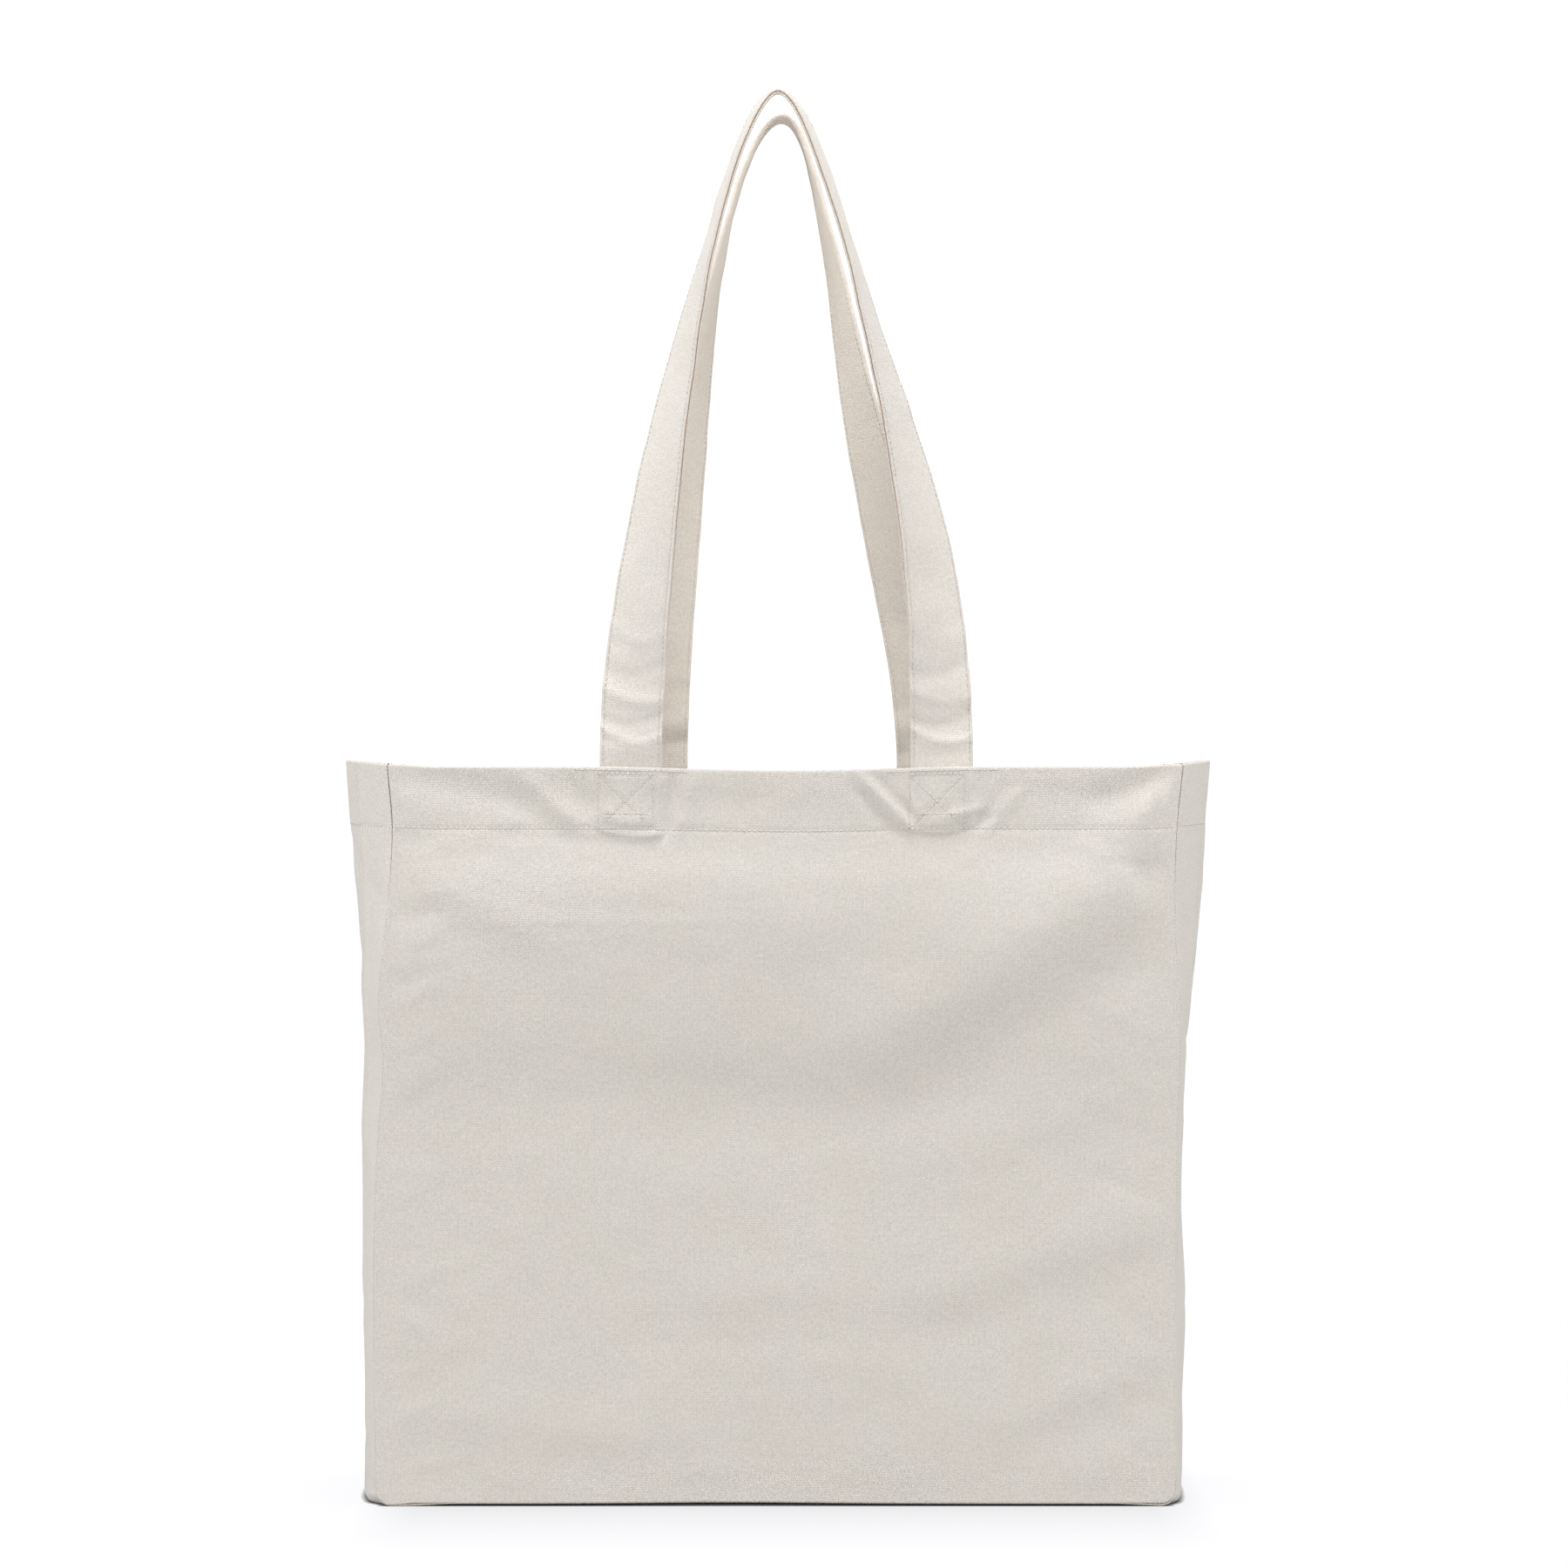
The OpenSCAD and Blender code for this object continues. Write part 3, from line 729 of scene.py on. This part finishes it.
def strap_path(face):
    """Stations along a whole strap: arc length, centre, width direction and outer face direction."""
    places, ways, turns = [], [], []
    for k, side in enumerate((-1, 1)):
        x0 = SEWN[face][k]
        middle, crown_side, crown, low, turn_by = LEGS[face][k]
        rise = RISE[face]
        leg = [(x0, FREE_Z), (x0, FREE_Z + low * rise), (middle, FREE_Z + 0.55 * rise),
               (crown_side, FREE_Z + rise), (crown, FREE_Z + rise)]
        at, way = curve(leg, np.linspace(0, 1, 700))
        sewn = np.stack([np.full(30, x0), np.linspace(SEWN_Z, FREE_Z, 31)[:-1]], axis=-1)
        at = np.concatenate([sewn, at])
        way = np.concatenate([np.tile([0.0, 1.0], (30, 1)), way])
        if side > 0:
            at, way = at[::-1][1:], -way[::-1][1:]
        places.append(at)
        ways.append(way / np.linalg.norm(way, axis=1)[:, None])
        turns.append(np.full(len(at), turn_by))
    at, way, turn_by = np.concatenate(places), np.concatenate(ways), np.concatenate(turns)
    s = np.concatenate([[0], np.cumsum(np.linalg.norm(np.diff(at, axis=0), axis=1))])
    height = np.clip((at[:, 1] - FREE_Z) / RISE[face], 0, 1)
    share = height / turn_by
    turned = (math.sqrt(1.012) + share - np.sqrt((1 - share) ** 2 + 0.012)) / 2
    turn = math.radians(CROWN_TURN[face]) * turned
    sewn = 1 - smooth((at[:, 1] - TOP + 6) / 16)
    depth = SEWN_DEPTH + 0.6 * (1 - sewn)
    centre = np.stack([at[:, 0], face * (HALF_D - depth), at[:, 1]], axis=-1)
    out = np.stack([-way[:, 1], 0 * s, way[:, 0]], axis=-1)
    flat = np.array([0, face, 0.0])
    width = np.cos(turn)[:, None] * out - np.sin(turn)[:, None] * flat
    normal = np.cos(turn)[:, None] * flat + np.sin(turn)[:, None] * out
    return s, np.concatenate([centre, width, normal, sewn[:, None], height[:, None]], axis=1)


STRAPS = {-1: strap_path(-1), 1: strap_path(1)}


def on_strap(face, s, w, n):
    """Millimetre points on a strap, at arc length s, w across it and n off its middle."""
    stations, columns = STRAPS[face]
    s, w, n = np.broadcast_arrays(np.asarray(s, float), w, n)
    data = np.stack([np.interp(s, stations, column) for column in columns.T], axis=-1)
    centre, width, normal = data[..., :3], data[..., 3:6], data[..., 6:9]
    sewn, height = data[..., 9], data[..., 10]
    free = 1 - sewn
    low = np.exp(-np.maximum(height - 0.015, 0) / 0.09) * free
    bend = ((0.35 + 0.9 * low) * noise(s / 17, w / 26, 91 + face)
            + (0.10 + 0.38 * low) * noise(s / 6.5, w / 11, 94 + face)
            + 0.6 * noise(s / 75, w / 40, 97 + face))
    side = np.where(s < stations[-1] / 2, 1.0, -1.0)
    for k, (at, slope, deep) in enumerate(STRAP_CREASES):
        level = height * RISE[face] - at - side * slope * w - 0.02 * w**2
        bend = bend + deep * (1.0 if face < 0 else 0.08) * np.exp(-((level / (2.4 + 0.5 * k)) ** 2))
    cup = 0.5 * (w / HALF_STRAP) ** 2 * noise(s / 55, 0 * w, 99 + face)
    edge = 0.35 * noise(s / 34, np.sign(w) * 3.0, 103 + face) * np.abs(w) / HALF_STRAP
    points = centre + (w + edge * free)[..., None] * width + (n + (bend + cup) * free)[..., None] * normal
    x, z = points[..., 0], points[..., 2]
    points[..., 1] += face * panel_out(x, np.minimum(z, TOP), face) * sewn
    points[..., 2] -= droop(x, np.minimum(z, TOP)) * sewn
    return points


def puff(w):
    """Half thickness of a strap across its width: full in the middle, drawn in at its stitching."""
    w = np.abs(w)
    middle = 0.28 * np.maximum(1 - (w / STRAP_STITCH) ** 2, 0)
    drawn = 0.2 * np.exp(-(((w - STRAP_STITCH) / 0.75) ** 2))
    return 2 * CLOTH + middle - drawn


def strap_section():
    """The folded strap's cross-section as one run of cloth: (across, off the middle, share along the run)."""
    c, f = CLOTH, HALF_STRAP
    ws = [-14.0, -13.65, -13.3, -12.95, -12.5, -11.9, -11.1, -10.0]
    ws += list(np.arange(-8.6, 8.7, 1.23)) + [-w for w in ws[::-1]]
    turn = np.radians(np.linspace(0, 180, 7))
    fold = [(-f + c - c * math.sin(a), c - c * math.cos(a)) for a in turn]
    hidden = (12.4, 8.0, 0.0, -8.0, -12.4)
    run = [(w, 0.04) for w in hidden] + [(-14.0, 0.05)] + [(w, n + 0.05 * (n < 1)) for w, n in fold]
    run += [(w, puff(w)) for w in ws[:-1]]
    round_edge = np.radians(np.linspace(0, 180, 11))
    run += [(f - 2 * c + 2 * c * math.sin(a), 2 * c * math.cos(a)) for a in round_edge]
    run += [(w, -puff(w)) for w in ws[-2::-1]]
    run += [(w, -n - 0.05 * (n < 1)) for w, n in fold[::-1]] + [(-14.0, -0.05)]
    run += [(w, -0.04) for w in hidden[::-1]]
    return np.array(run, float)


STRAP_RUN = strap_section()
STRAP_ROUND = np.concatenate([[0], np.cumsum(np.hypot(*np.diff(STRAP_RUN, axis=0).T))])
STRAP_U = 700.0        # where the straps start in the cloth's own coordinates


def strap(face, name, material):
    end = STRAPS[face][0][-1]
    fine = TOP - SEWN_Z + 60
    s = spaced(((0, 1.3), (fine, 2.6), (end - fine, 1.3), (end, 0)))
    w, n = STRAP_RUN.T
    points = on_strap(face, s[:, None], w[None, :], n[None, :])
    uv = np.stack([np.broadcast_to(STRAP_ROUND + STRAP_U, points.shape[:2]),
                   np.broadcast_to(s[:, None], points.shape[:2])], axis=-1).reshape(-1, 2)
    obj = cloth(name, points.reshape(-1, 3), facing_quads(len(s), len(w), face < 0), uv, material)
    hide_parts(name, f"{WORD[face]}_left_handle_end", f"{WORD[face]}_right_handle_end")
    return follow_strap(obj)


def follow_strap(obj):
    """Bakes the piece's placement into its mesh."""
    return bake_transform(obj)


# ---------- stitches ----------

RING_PLACE = np.array([-0.5, -0.36, -0.14, 0.14, 0.36, 0.5])
RING_RISE = np.array([-0.34, 0.06, 0.2, 0.2, 0.06, -0.34])
RING_SIZE = np.array([0.75, 1.0, 1.05, 1.05, 1.0, 0.75])
THREAD_SIDES = np.radians(np.arange(6) * 60.0)


def unit(v):
    return v / np.maximum(np.linalg.norm(v, axis=-1, keepdims=True), 1e-12)


def stitches(name, runs, material, seed, length=STITCH, size=THREAD_R):
    """Short bent threads that dive into the cloth at both ends. A run is (places, directions, outward)."""
    at, way, out = (np.concatenate([r[k].reshape(-1, 3) for r in runs]) for k in range(3))
    rand = np.random.RandomState(seed)
    count = len(at)
    out = unit(out)
    way = unit(way - (way * out).sum(1)[:, None] * out)
    across = np.cross(way, out)
    slant = np.radians(5 + rand.normal(0, 2.5, count))[:, None]
    way, across = way * np.cos(slant) + across * np.sin(slant), across * np.cos(slant) - way * np.sin(slant)
    long = length * (1 + rand.normal(0, 0.04, count))[:, None, None]
    rise = RING_RISE[None, :, None] * (1 + rand.normal(0, 0.12, count))[:, None, None]
    spine = at[:, None] + RING_PLACE[None, :, None] * long * way[:, None] + rise * out[:, None]
    spin = (np.cos(THREAD_SIDES)[None, None, :, None] * across[:, None, None]
            + np.sin(THREAD_SIDES)[None, None, :, None] * out[:, None, None])
    flat = 1 - 0.2 * np.abs(np.sin(THREAD_SIDES))[None, None, :, None]
    points = spine[:, :, None] + spin * flat * size * RING_SIZE[None, :, None, None]
    rings, sides = len(RING_PLACE), len(THREAD_SIDES)
    k = np.arange(rings * sides).reshape(rings, sides)
    nxt = np.roll(k, -1, axis=1)
    one = np.stack([k[:-1], nxt[:-1], nxt[1:], k[1:]], axis=-1).reshape(-1, 4)
    faces = (one[None] + (np.arange(count) * rings * sides)[:, None, None]).reshape(-1, 4)
    normals = np.broadcast_to(spin, points.shape).reshape(-1, 3)
    u = np.broadcast_to(np.arange(sides)[None, None, :] * 0.25, points.shape[:3])
    v = (RING_PLACE[None, :, None] + np.arange(count)[:, None, None]) * length
    uv = np.stack([u, np.broadcast_to(v, points.shape[:3])], axis=-1).reshape(-1, 2)
    points = points.reshape(-1, 3)
    if (point_normals(points, faces) * normals).sum(1).mean() < 0:
        faces = faces[:, ::-1]
    return make_mesh(f"{name}_thread", points, faces, uv, material, normals)


def surface_run(place, u, v, turn, sign):
    """A run of stitches on a surface. turn is the stitch's slope in degrees, and sign picks the face."""
    e = 0.2
    along_u = place(u + e, v) - place(u - e, v)
    along_v = place(u, v + e) - place(u, v - e)
    turn = math.radians(turn)
    return place(u, v), math.cos(turn) * along_u + math.sin(turn) * along_v, np.cross(along_u, along_v) * sign


def panel_run(face, x, z, turn=0.0, depth=0.0, inside=False):
    x, z = np.broadcast_arrays(np.asarray(x, float), np.asarray(z, float))
    return surface_run(lambda a, b: place_panel(a, b, depth, face), x, z, turn, face if inside else -face)


def places(a, b, pitch=PITCH):
    """Middles of stitches that fill the way from a to b."""
    count = max(1, round(abs(b - a) / pitch))
    return a + (b - a) * (np.arange(count) + 0.5) / count


def box_runs(face, x0, depth, inside):
    x0 = x0 + BOX_SHIFT
    runs = []
    side = places(-BOX, BOX)
    for turn in (0, 90):
        for edge in (-BOX, BOX):
            dx, dz = (side, edge) if turn == 0 else (edge, side)
            runs.append(panel_run(face, x0 + dx, BOX_Z + dz, turn, depth, inside))
    side = places(-BOX + 2, BOX - 2)
    runs.append(panel_run(face, x0 + side, BAR_Z, 0, depth, inside))
    slope = places(-BOX + 0.8, BOX - 0.8, PITCH * 0.7071)
    for turn in (45, -45):
        runs.append(panel_run(face, x0 + slope, BOX_Z + slope * (1 if turn > 0 else -1), turn, depth, inside))
    return runs


def panel_stitching(face, material):
    word = WORD[face]
    left, right = seam_x(face, -1, HEM_STITCH_Z), seam_x(face, 1, HEM_STITCH_Z)
    x = places(float(left) + 1.5, float(right) - 1.5)
    runs = [panel_run(face, x, HEM_STITCH_Z + 0.25 * noise(x / 30, 0 * x, 121)),
            panel_run(face, x[2:-2], HEM_STITCH_Z + 0 * x[2:-2], depth=HEM_T, inside=True)]
    hem = stitches(f"{word}_hem_stitching", runs, material, 123 + face)
    runs = []
    for x0 in SEWN[face]:
        x = places(x0 - 27, x0 + 27)
        runs.append(panel_run(face, x, EDGE_STITCH_Z + 0.2 * noise(x / 12, 0 * x, 125)))
        x = np.concatenate([places(x0 - 27, x0 - 16), places(x0 + 16, x0 + 27)])
        runs.append(panel_run(face, x, EDGE_STITCH_Z + 0 * x, depth=HEM_T, inside=True))
        x = places(x0 - 13, x0 + 13)
        runs.append(panel_run(face, x, EDGE_STITCH_Z + 0 * x, depth=INSIDE_END, inside=True))
    edge = stitches(f"{word}_edge_stitching", runs, material, 127 + face)
    out = [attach(hem, "bag"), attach(edge, "bag")]
    for k, x0 in enumerate(SEWN[face]):
        runs = box_runs(face, x0, 0.0, False) + box_runs(face, x0, INSIDE_END, True)
        side = SIDE_WORD[2 * k - 1]
        box = stitches(f"{word}_{side}_box_stitch", runs, material, 131 + face + k)
        out.append(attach(box, "bag"))
    for obj in out:
        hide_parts(obj.name.removesuffix("_thread"))
    return out


def side_stitching(side, material):
    word = SIDE_WORD[side]
    out = []
    for face in (-1, 1):
        y = face * places(1.2, HALF_D - 3.5)
        z = HEM_STITCH_Z + 0 * y
        runs = [surface_run(lambda a, b: place_side(side, a, b, depth), y, z, 0, side * sign)
                for depth, sign in ((0.0, 1), (HEM_T, -1))]
        obj = stitches(f"{word}_hem_stitching_{WORD[face]}", runs, material, 141 + side + face)
        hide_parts(f"{word}_hem_stitching")
        out.append(follow_side(obj))
    return out


def strap_stitching(face, material):
    first = TOP - SEWN_Z + 1.5
    s = places(first, STRAPS[face][0][-1] - first)
    runs = []
    for edge in (-1, 1):
        w = edge * STRAP_STITCH
        for side in (-1, 1):
            n = side * (puff(w) - 0.02)
            at = on_strap(face, s, w, n)
            way = on_strap(face, s + 0.3, w, n) - on_strap(face, s - 0.3, w, n)
            out = at - on_strap(face, s, w, 0.0)
            runs.append((at, way, out))
    name = f"{WORD[face]}_handle_stitching"
    obj = stitches(name, runs, material, 151 + face, size=0.17)
    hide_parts(name)
    return follow_strap(obj)


# ---------- materials ----------


class Nodes:
    """Short ways to add nodes to one material or world."""

    def __init__(self, owner):
        owner.use_nodes = True
        self.owner = owner
        self.tree = owner.node_tree
        self.tree.nodes.clear()

    def add(self, kind, inputs=None, **settings):
        node = self.tree.nodes.new(kind)
        for key, value in settings.items():
            setattr(node, key, value)
        for key, value in (inputs or {}).items():
            if isinstance(value, bpy.types.NodeSocket):
                self.tree.links.new(value, node.inputs[key])
            else:
                node.inputs[key].default_value = value
        return node

    def math(self, operation, *values, clamp=False):
        inputs = dict(enumerate(values))
        return self.add("ShaderNodeMath", inputs, operation=operation, use_clamp=clamp).outputs[0]

    def times(self, a, b, **settings):
        return self.math("MULTIPLY", a, b, **settings)

    def plus(self, *values):
        return functools.reduce(lambda a, b: self.math("ADD", a, b), values)

    def minus(self, a, b):
        return self.math("SUBTRACT", a, b)

    def line(self, value, slope, start, **settings):
        return self.math("MULTIPLY_ADD", value, slope, start, **settings)

    def within(self, place, edge, soft):
        """1 well inside this distance on both sides of the middle, and 0 past it."""
        return self.line(self.math("ABSOLUTE", place), -1 / soft, edge / soft, clamp=True)

    def vector(self, x, y, z):
        return self.add("ShaderNodeCombineXYZ", {0: x, 1: y, 2: z}).outputs[0]

    def parts(self, vector):
        return self.add("ShaderNodeSeparateXYZ", {0: vector}).outputs

    def noise(self, vector, scale, detail=2.0, rough=0.5):
        inputs = {"Vector": vector, "Scale": scale, "Detail": detail, "Roughness": rough}
        return self.add("ShaderNodeTexNoise", inputs, noise_dimensions="3D").outputs["Fac"]

    def centred(self, value, height):
        """A 0 to 1 value as one around zero, with this height."""
        return self.times(self.minus(value, 0.5), 2 * height)

    def mix(self, a, b, share):
        return self.add("ShaderNodeMix", {0: share, 6: a, 7: b}, data_type="RGBA").outputs[2]

    def scaled(self, colour, value):
        return self.add("ShaderNodeVectorMath", {0: colour, "Scale": value}, operation="SCALE").outputs[0]

    def either(self, share, no, yes):
        """A shader that is no where share is 0 and yes where it is 1."""
        return self.add("ShaderNodeMixShader", {0: share, 1: no, 2: yes}).outputs[0]

    def surface(self, colour, height, distance, rough=0.92, sheen=0.15):
        bump = self.add("ShaderNodeBump", {"Strength": 0.75, "Distance": distance, "Height": height})
        shader = self.add("ShaderNodeBsdfPrincipled", {
            "Base Color": colour, "Roughness": rough, "Specular IOR Level": 0.25, "Sheen Weight": sheen,
            "Sheen Roughness": 0.45, "Normal": bump.outputs[0]})
        return self.finish("ShaderNodeOutputMaterial", shader.outputs[0])

    def finish(self, kind, shader):
        self.add(kind, {"Surface": shader})
        return self.owner


# Sizes of the cloth's pattern, in metres
WARP_STEP, WEFT_STEP = 0.00056, 0.00084
SLIT_SHADE_REACH = 0.0275          # painted shade, darker and warmer, reaches this far from each end of a strap's section, inside its fold
TWIST_ROUND, TWIST_ALONG = 0.00075, 0.0006


def tinted(colour, *factors):
    return tuple(c * k for c, k in zip(colour, factors)) + (1,)


def canvas(name, colour, slit=0.0):
    """Plain-weave cotton canvas with uneven yarns and a few seed flecks. slit is the length round a
    strap's section, whose two inner ends, hidden in the strap's fold, get a darker, warmer painted shade.
    """
    n = Nodes(bpy.data.materials.new(name))
    uv = n.add("ShaderNodeUVMap", uv_map="Cloth").outputs[0]
    u, v, _ = n.parts(uv)
    stray = n.noise(uv, 420.0, 1.0)
    stray_v = n.noise(n.vector(v, u, 0.37), 380.0, 1.0)
    warp = n.plus(n.times(u, 1 / WARP_STEP), n.centred(stray, 0.55))
    weft = n.plus(n.times(v, 1 / WEFT_STEP), n.centred(stray_v, 0.45))
    wave_a = n.math("SINE", n.times(warp, math.pi))
    wave_b = n.math("SINE", n.times(weft, math.pi))
    over = n.times(wave_a, wave_b)
    slubs, yarns = [], []
    for wave, a, b, layer, sign in ((wave_a, 0.9, 0.16, 1.7, 0.42), (wave_b, 0.10, 0.9, 5.3, -0.42)):
        slub = n.noise(n.vector(n.times(warp, a), n.times(weft, b), layer), 1.0, 2.0, 0.6)
        thick = n.plus(n.line(over, sign, 0.58), n.centred(slub, 0.25))
        slubs.append(slub)
        yarns.append(n.times(n.math("POWER", n.math("ABSOLUTE", wave), 0.7), thick))
    height = n.math("MAXIMUM", *yarns)
    fuzz = n.noise(uv, 5200.0, 2.0, 0.6)
    height = n.plus(height, n.centred(fuzz, 0.05))
    grain = n.noise(n.vector(n.times(warp, 0.42), n.times(weft, 0.55), 2.9), 1.0, 1.0, 0.6)
    cloud = n.noise(uv, 11.0, 3.0, 0.55)
    # tone holds the yarns' own uneven colour (slubs, grain, cloud) and painted shade of the weave's relief:
    # darker in the valleys between yarns, lighter on their raised tops and where the warp crosses over
    tone = n.plus(n.line(height, 0.26, 0.78), n.centred(slubs[0], 0.01), n.centred(slubs[1], 0.014),
                  n.centred(grain, 0.15), n.times(over, 0.13), n.centred(cloud, 0.022))
    warm = tinted(colour, 1.0, 0.985, 0.955)
    cool = tinted(colour, 1.0, 1.005, 1.02)
    drift = n.noise(uv, 24.0, 2.0)
    base_colour = n.mix(warm, cool, drift)
    cell = n.add("ShaderNodeTexVoronoi", {"Vector": uv, "Scale": 150.0}, feature="F1").outputs
    chance, big, strong = n.add("ShaderNodeSeparateColor", {0: cell["Color"]}).outputs
    size = n.times(n.math("GREATER_THAN", chance, 0.93), n.line(big, 0.045, 0.02))
    fleck = n.times(n.math("LESS_THAN", cell["Distance"], size), n.line(strong, 0.45, 0.12))
    seed_colour = tinted(colour, 0.62, 0.5, 0.36)
    base_colour = n.mix(base_colour, seed_colour, fleck)
    height = n.line(over, 0.35, n.plus(height, n.centred(grain, 0.3)))
    # The two inner ends of a strap's section lie in the slit of its fold: painted shade, darker and warmer,
    # goes there
    if slit:
        across = n.minus(u, STRAP_U * MM)
        side = n.math("MINIMUM", across, n.minus(slit * MM, across))
        inside = n.times(n.minus(SLIT_SHADE_REACH, side), 1 / 0.0005, clamp=True)
        slit_shade = tinted(colour, 0.85, 0.6, 0.4)
        base_colour = n.mix(base_colour, slit_shade, inside)
    return n.surface(n.scaled(base_colour, tone), height, 0.00014)


def thread(name, colour):
    """Two-ply cotton thread, with painted shade in the grooves of its twist and where each stitch goes down
    into the cloth.
    """
    n = Nodes(bpy.data.materials.new(name))
    uv = n.add("ShaderNodeUVMap", uv_map="Cloth").outputs[0]
    u, v, _ = n.parts(uv)
    turn = 2 * math.pi
    ply = n.math("SINE", n.plus(n.times(u, turn / TWIST_ROUND), n.times(v, turn / TWIST_ALONG)))
    # painted shade: the colour is darker in the twist's grooves, following the same ripple as the bump
    tone = n.line(ply, 0.05, 0.95)
    # painted shade near each stitch's ends, where it goes down into the needle hole
    place = n.math("FRACT", n.line(v, 1 / (STITCH * MM), 0.5))
    end = n.times(n.math("ABSOLUTE", n.minus(place, 0.5)), 2.0)
    dark = n.line(end, 3.2, -1.85, clamp=True)
    hole_shade = tinted(colour, 0.22, 0.16, 0.11)
    return n.surface(n.scaled(n.mix(colour + (1,), hole_shade, dark), tone), ply, 0.00004, rough=0.8, sheen=0.2)


# ---------- build ----------

CANVAS = canvas("canvas", (0.74, 0.705, 0.655))
CANVAS_IN = canvas("canvas_inside", (0.735, 0.69, 0.625))
STRAP = canvas("strap", (0.80, 0.76, 0.705), STRAP_ROUND[-1])
# The back handle is the same cloth as the front one, made lighter and warmer: painted bounce light on its
# shaded inner face
BACK_STRAP_WITH_BOUNCE = canvas("back_strap", (0.89, 0.82, 0.74), STRAP_ROUND[-1])
THREAD = thread("thread", (0.80, 0.765, 0.70))


def build():
    for face, word in WORD.items():
        obj = panel(face, f"{word}_panel", CANVAS)
    for side, word in SIDE_WORD.items():
        halves = side_gusset(side, f"{word}_gusset", CANVAS)
        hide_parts(f"{word}_gusset", f"{word}_hem")
        for obj in side_stitching(side, THREAD):
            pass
    obj = base("base_gusset", CANVAS)
    for face, word in WORD.items():
        obj = seam_allowance(face, f"{word}_seam", CANVAS_IN)
        obj = strap(face, f"{word}_handle", STRAP if face < 0 else BACK_STRAP_WITH_BOUNCE)
        strap_stitching(face, THREAD)
        for obj in panel_stitching(face, THREAD):
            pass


build()

# ---------- ground, light and camera ----------


def ground():
    """A white floor. The camera sees a soft contact shadow and a slight shade under and beside the bag,
    and other rays see matt white.
    """
    mesh = bpy.data.meshes.new("ground")
    mesh.from_pydata([(-30, -30, 0), (30, -30, 0), (30, 30, 0), (-30, 30, 0)], [], [(0, 1, 2, 3)])
    obj = add_object("ground", mesh)
    n = Nodes(bpy.data.materials.new("ground"))
    seen = n.add("ShaderNodeLightPath").outputs["Is Camera Ray"]
    shade = []
    for reach, power in ((0.003, 1.7), (0.06, 0.06)):
        near = n.add("ShaderNodeAmbientOcclusion", {"Distance": reach}, samples=8)
        shade.append(n.math("POWER", near.outputs["AO"], power))
    x, y, _ = n.parts(n.add("ShaderNodeNewGeometry").outputs["Position"])
    front = n.line(n.times(n.within(x, 0.205, 0.03), n.within(y, 0.203, 0.14)), -0.14, 1.0)
    strength = n.times(n.times(*shade), n.times(front, 1.02))
    glow = n.add("ShaderNodeEmission", {"Color": (0.985, 0.985, 1.0, 1), "Strength": strength})
    matt = n.add("ShaderNodeBsdfDiffuse", {"Color": (0.7, 0.7, 0.7, 1)})
    both = n.either(seen, matt.outputs[0], glow.outputs[0])
    mesh.materials.append(n.finish("ShaderNodeOutputMaterial", both))


def area_light(name, at, target, size, watts):
    light = bpy.data.lights.new(name, "AREA")
    light.shape = "DISK"
    light.size = size
    light.energy = watts
    obj = add_object(name, light)
    obj.location = at
    obj.rotation_euler = (Vector(target) - Vector(at)).to_track_quat("-Z", "Y").to_euler()


def world():
    """Soft light from all round. The camera itself sees plain white."""
    sky = bpy.data.worlds.new("studio")
    bpy.context.scene.world = sky
    n = Nodes(sky)
    shades = [n.add("ShaderNodeBackground", {"Color": colour, "Strength": strength}).outputs[0]
              for colour, strength in (((0.98, 0.99, 1.0, 1), 0.18), ((1, 1, 1, 1), 1.05))]
    seen = n.add("ShaderNodeLightPath").outputs["Is Camera Ray"]
    n.finish("ShaderNodeOutputWorld", n.either(seen, *shades))


def camera():
    lens = bpy.data.cameras.new("camera")
    lens.sensor_width = 36.0
    lens.lens = 115.2
    lens.clip_start = 0.05
    lens.clip_end = 100.0
    obj = add_object("camera", lens)
    obj.location = (-0.0006, -2.46, 0.3454)
    obj.rotation_euler = (math.radians(90), 0, 0)
    bpy.context.scene.camera = obj


ground()
# The first four strengths and the world's soft light came from a least-squares fit to shades in
# the photo, and were then rounded or changed a little. The others were set one by one
for light in (("key", (-0.9, -1.3, 2.4), (0, 0, 0.3), 0.8, 19),
              ("top", (0, -0.3, 2.6), (0, 0, 0.3), 1.0, 33),
              ("high_left", (-1.9, -1.3, 1.5), (0, 0, 0.4), 0.9, 15),
              ("high_right", (1.9, -1.3, 1.5), (0, 0, 0.4), 0.9, 22),
              ("left", (-2.3, -0.2, 0.9), (0, 0, 0.4), 1.4, 11),
              ("right", (2.3, -0.2, 0.9), (0, 0, 0.4), 1.4, 10),
              ("back", (0.5, 2.6, 1.5), (0, 0, 0.3), 1.2, 16)):
    area_light(*light)
world()
camera()
view = bpy.context.scene.view_settings
view.view_transform = "Standard"
view.look = "None"
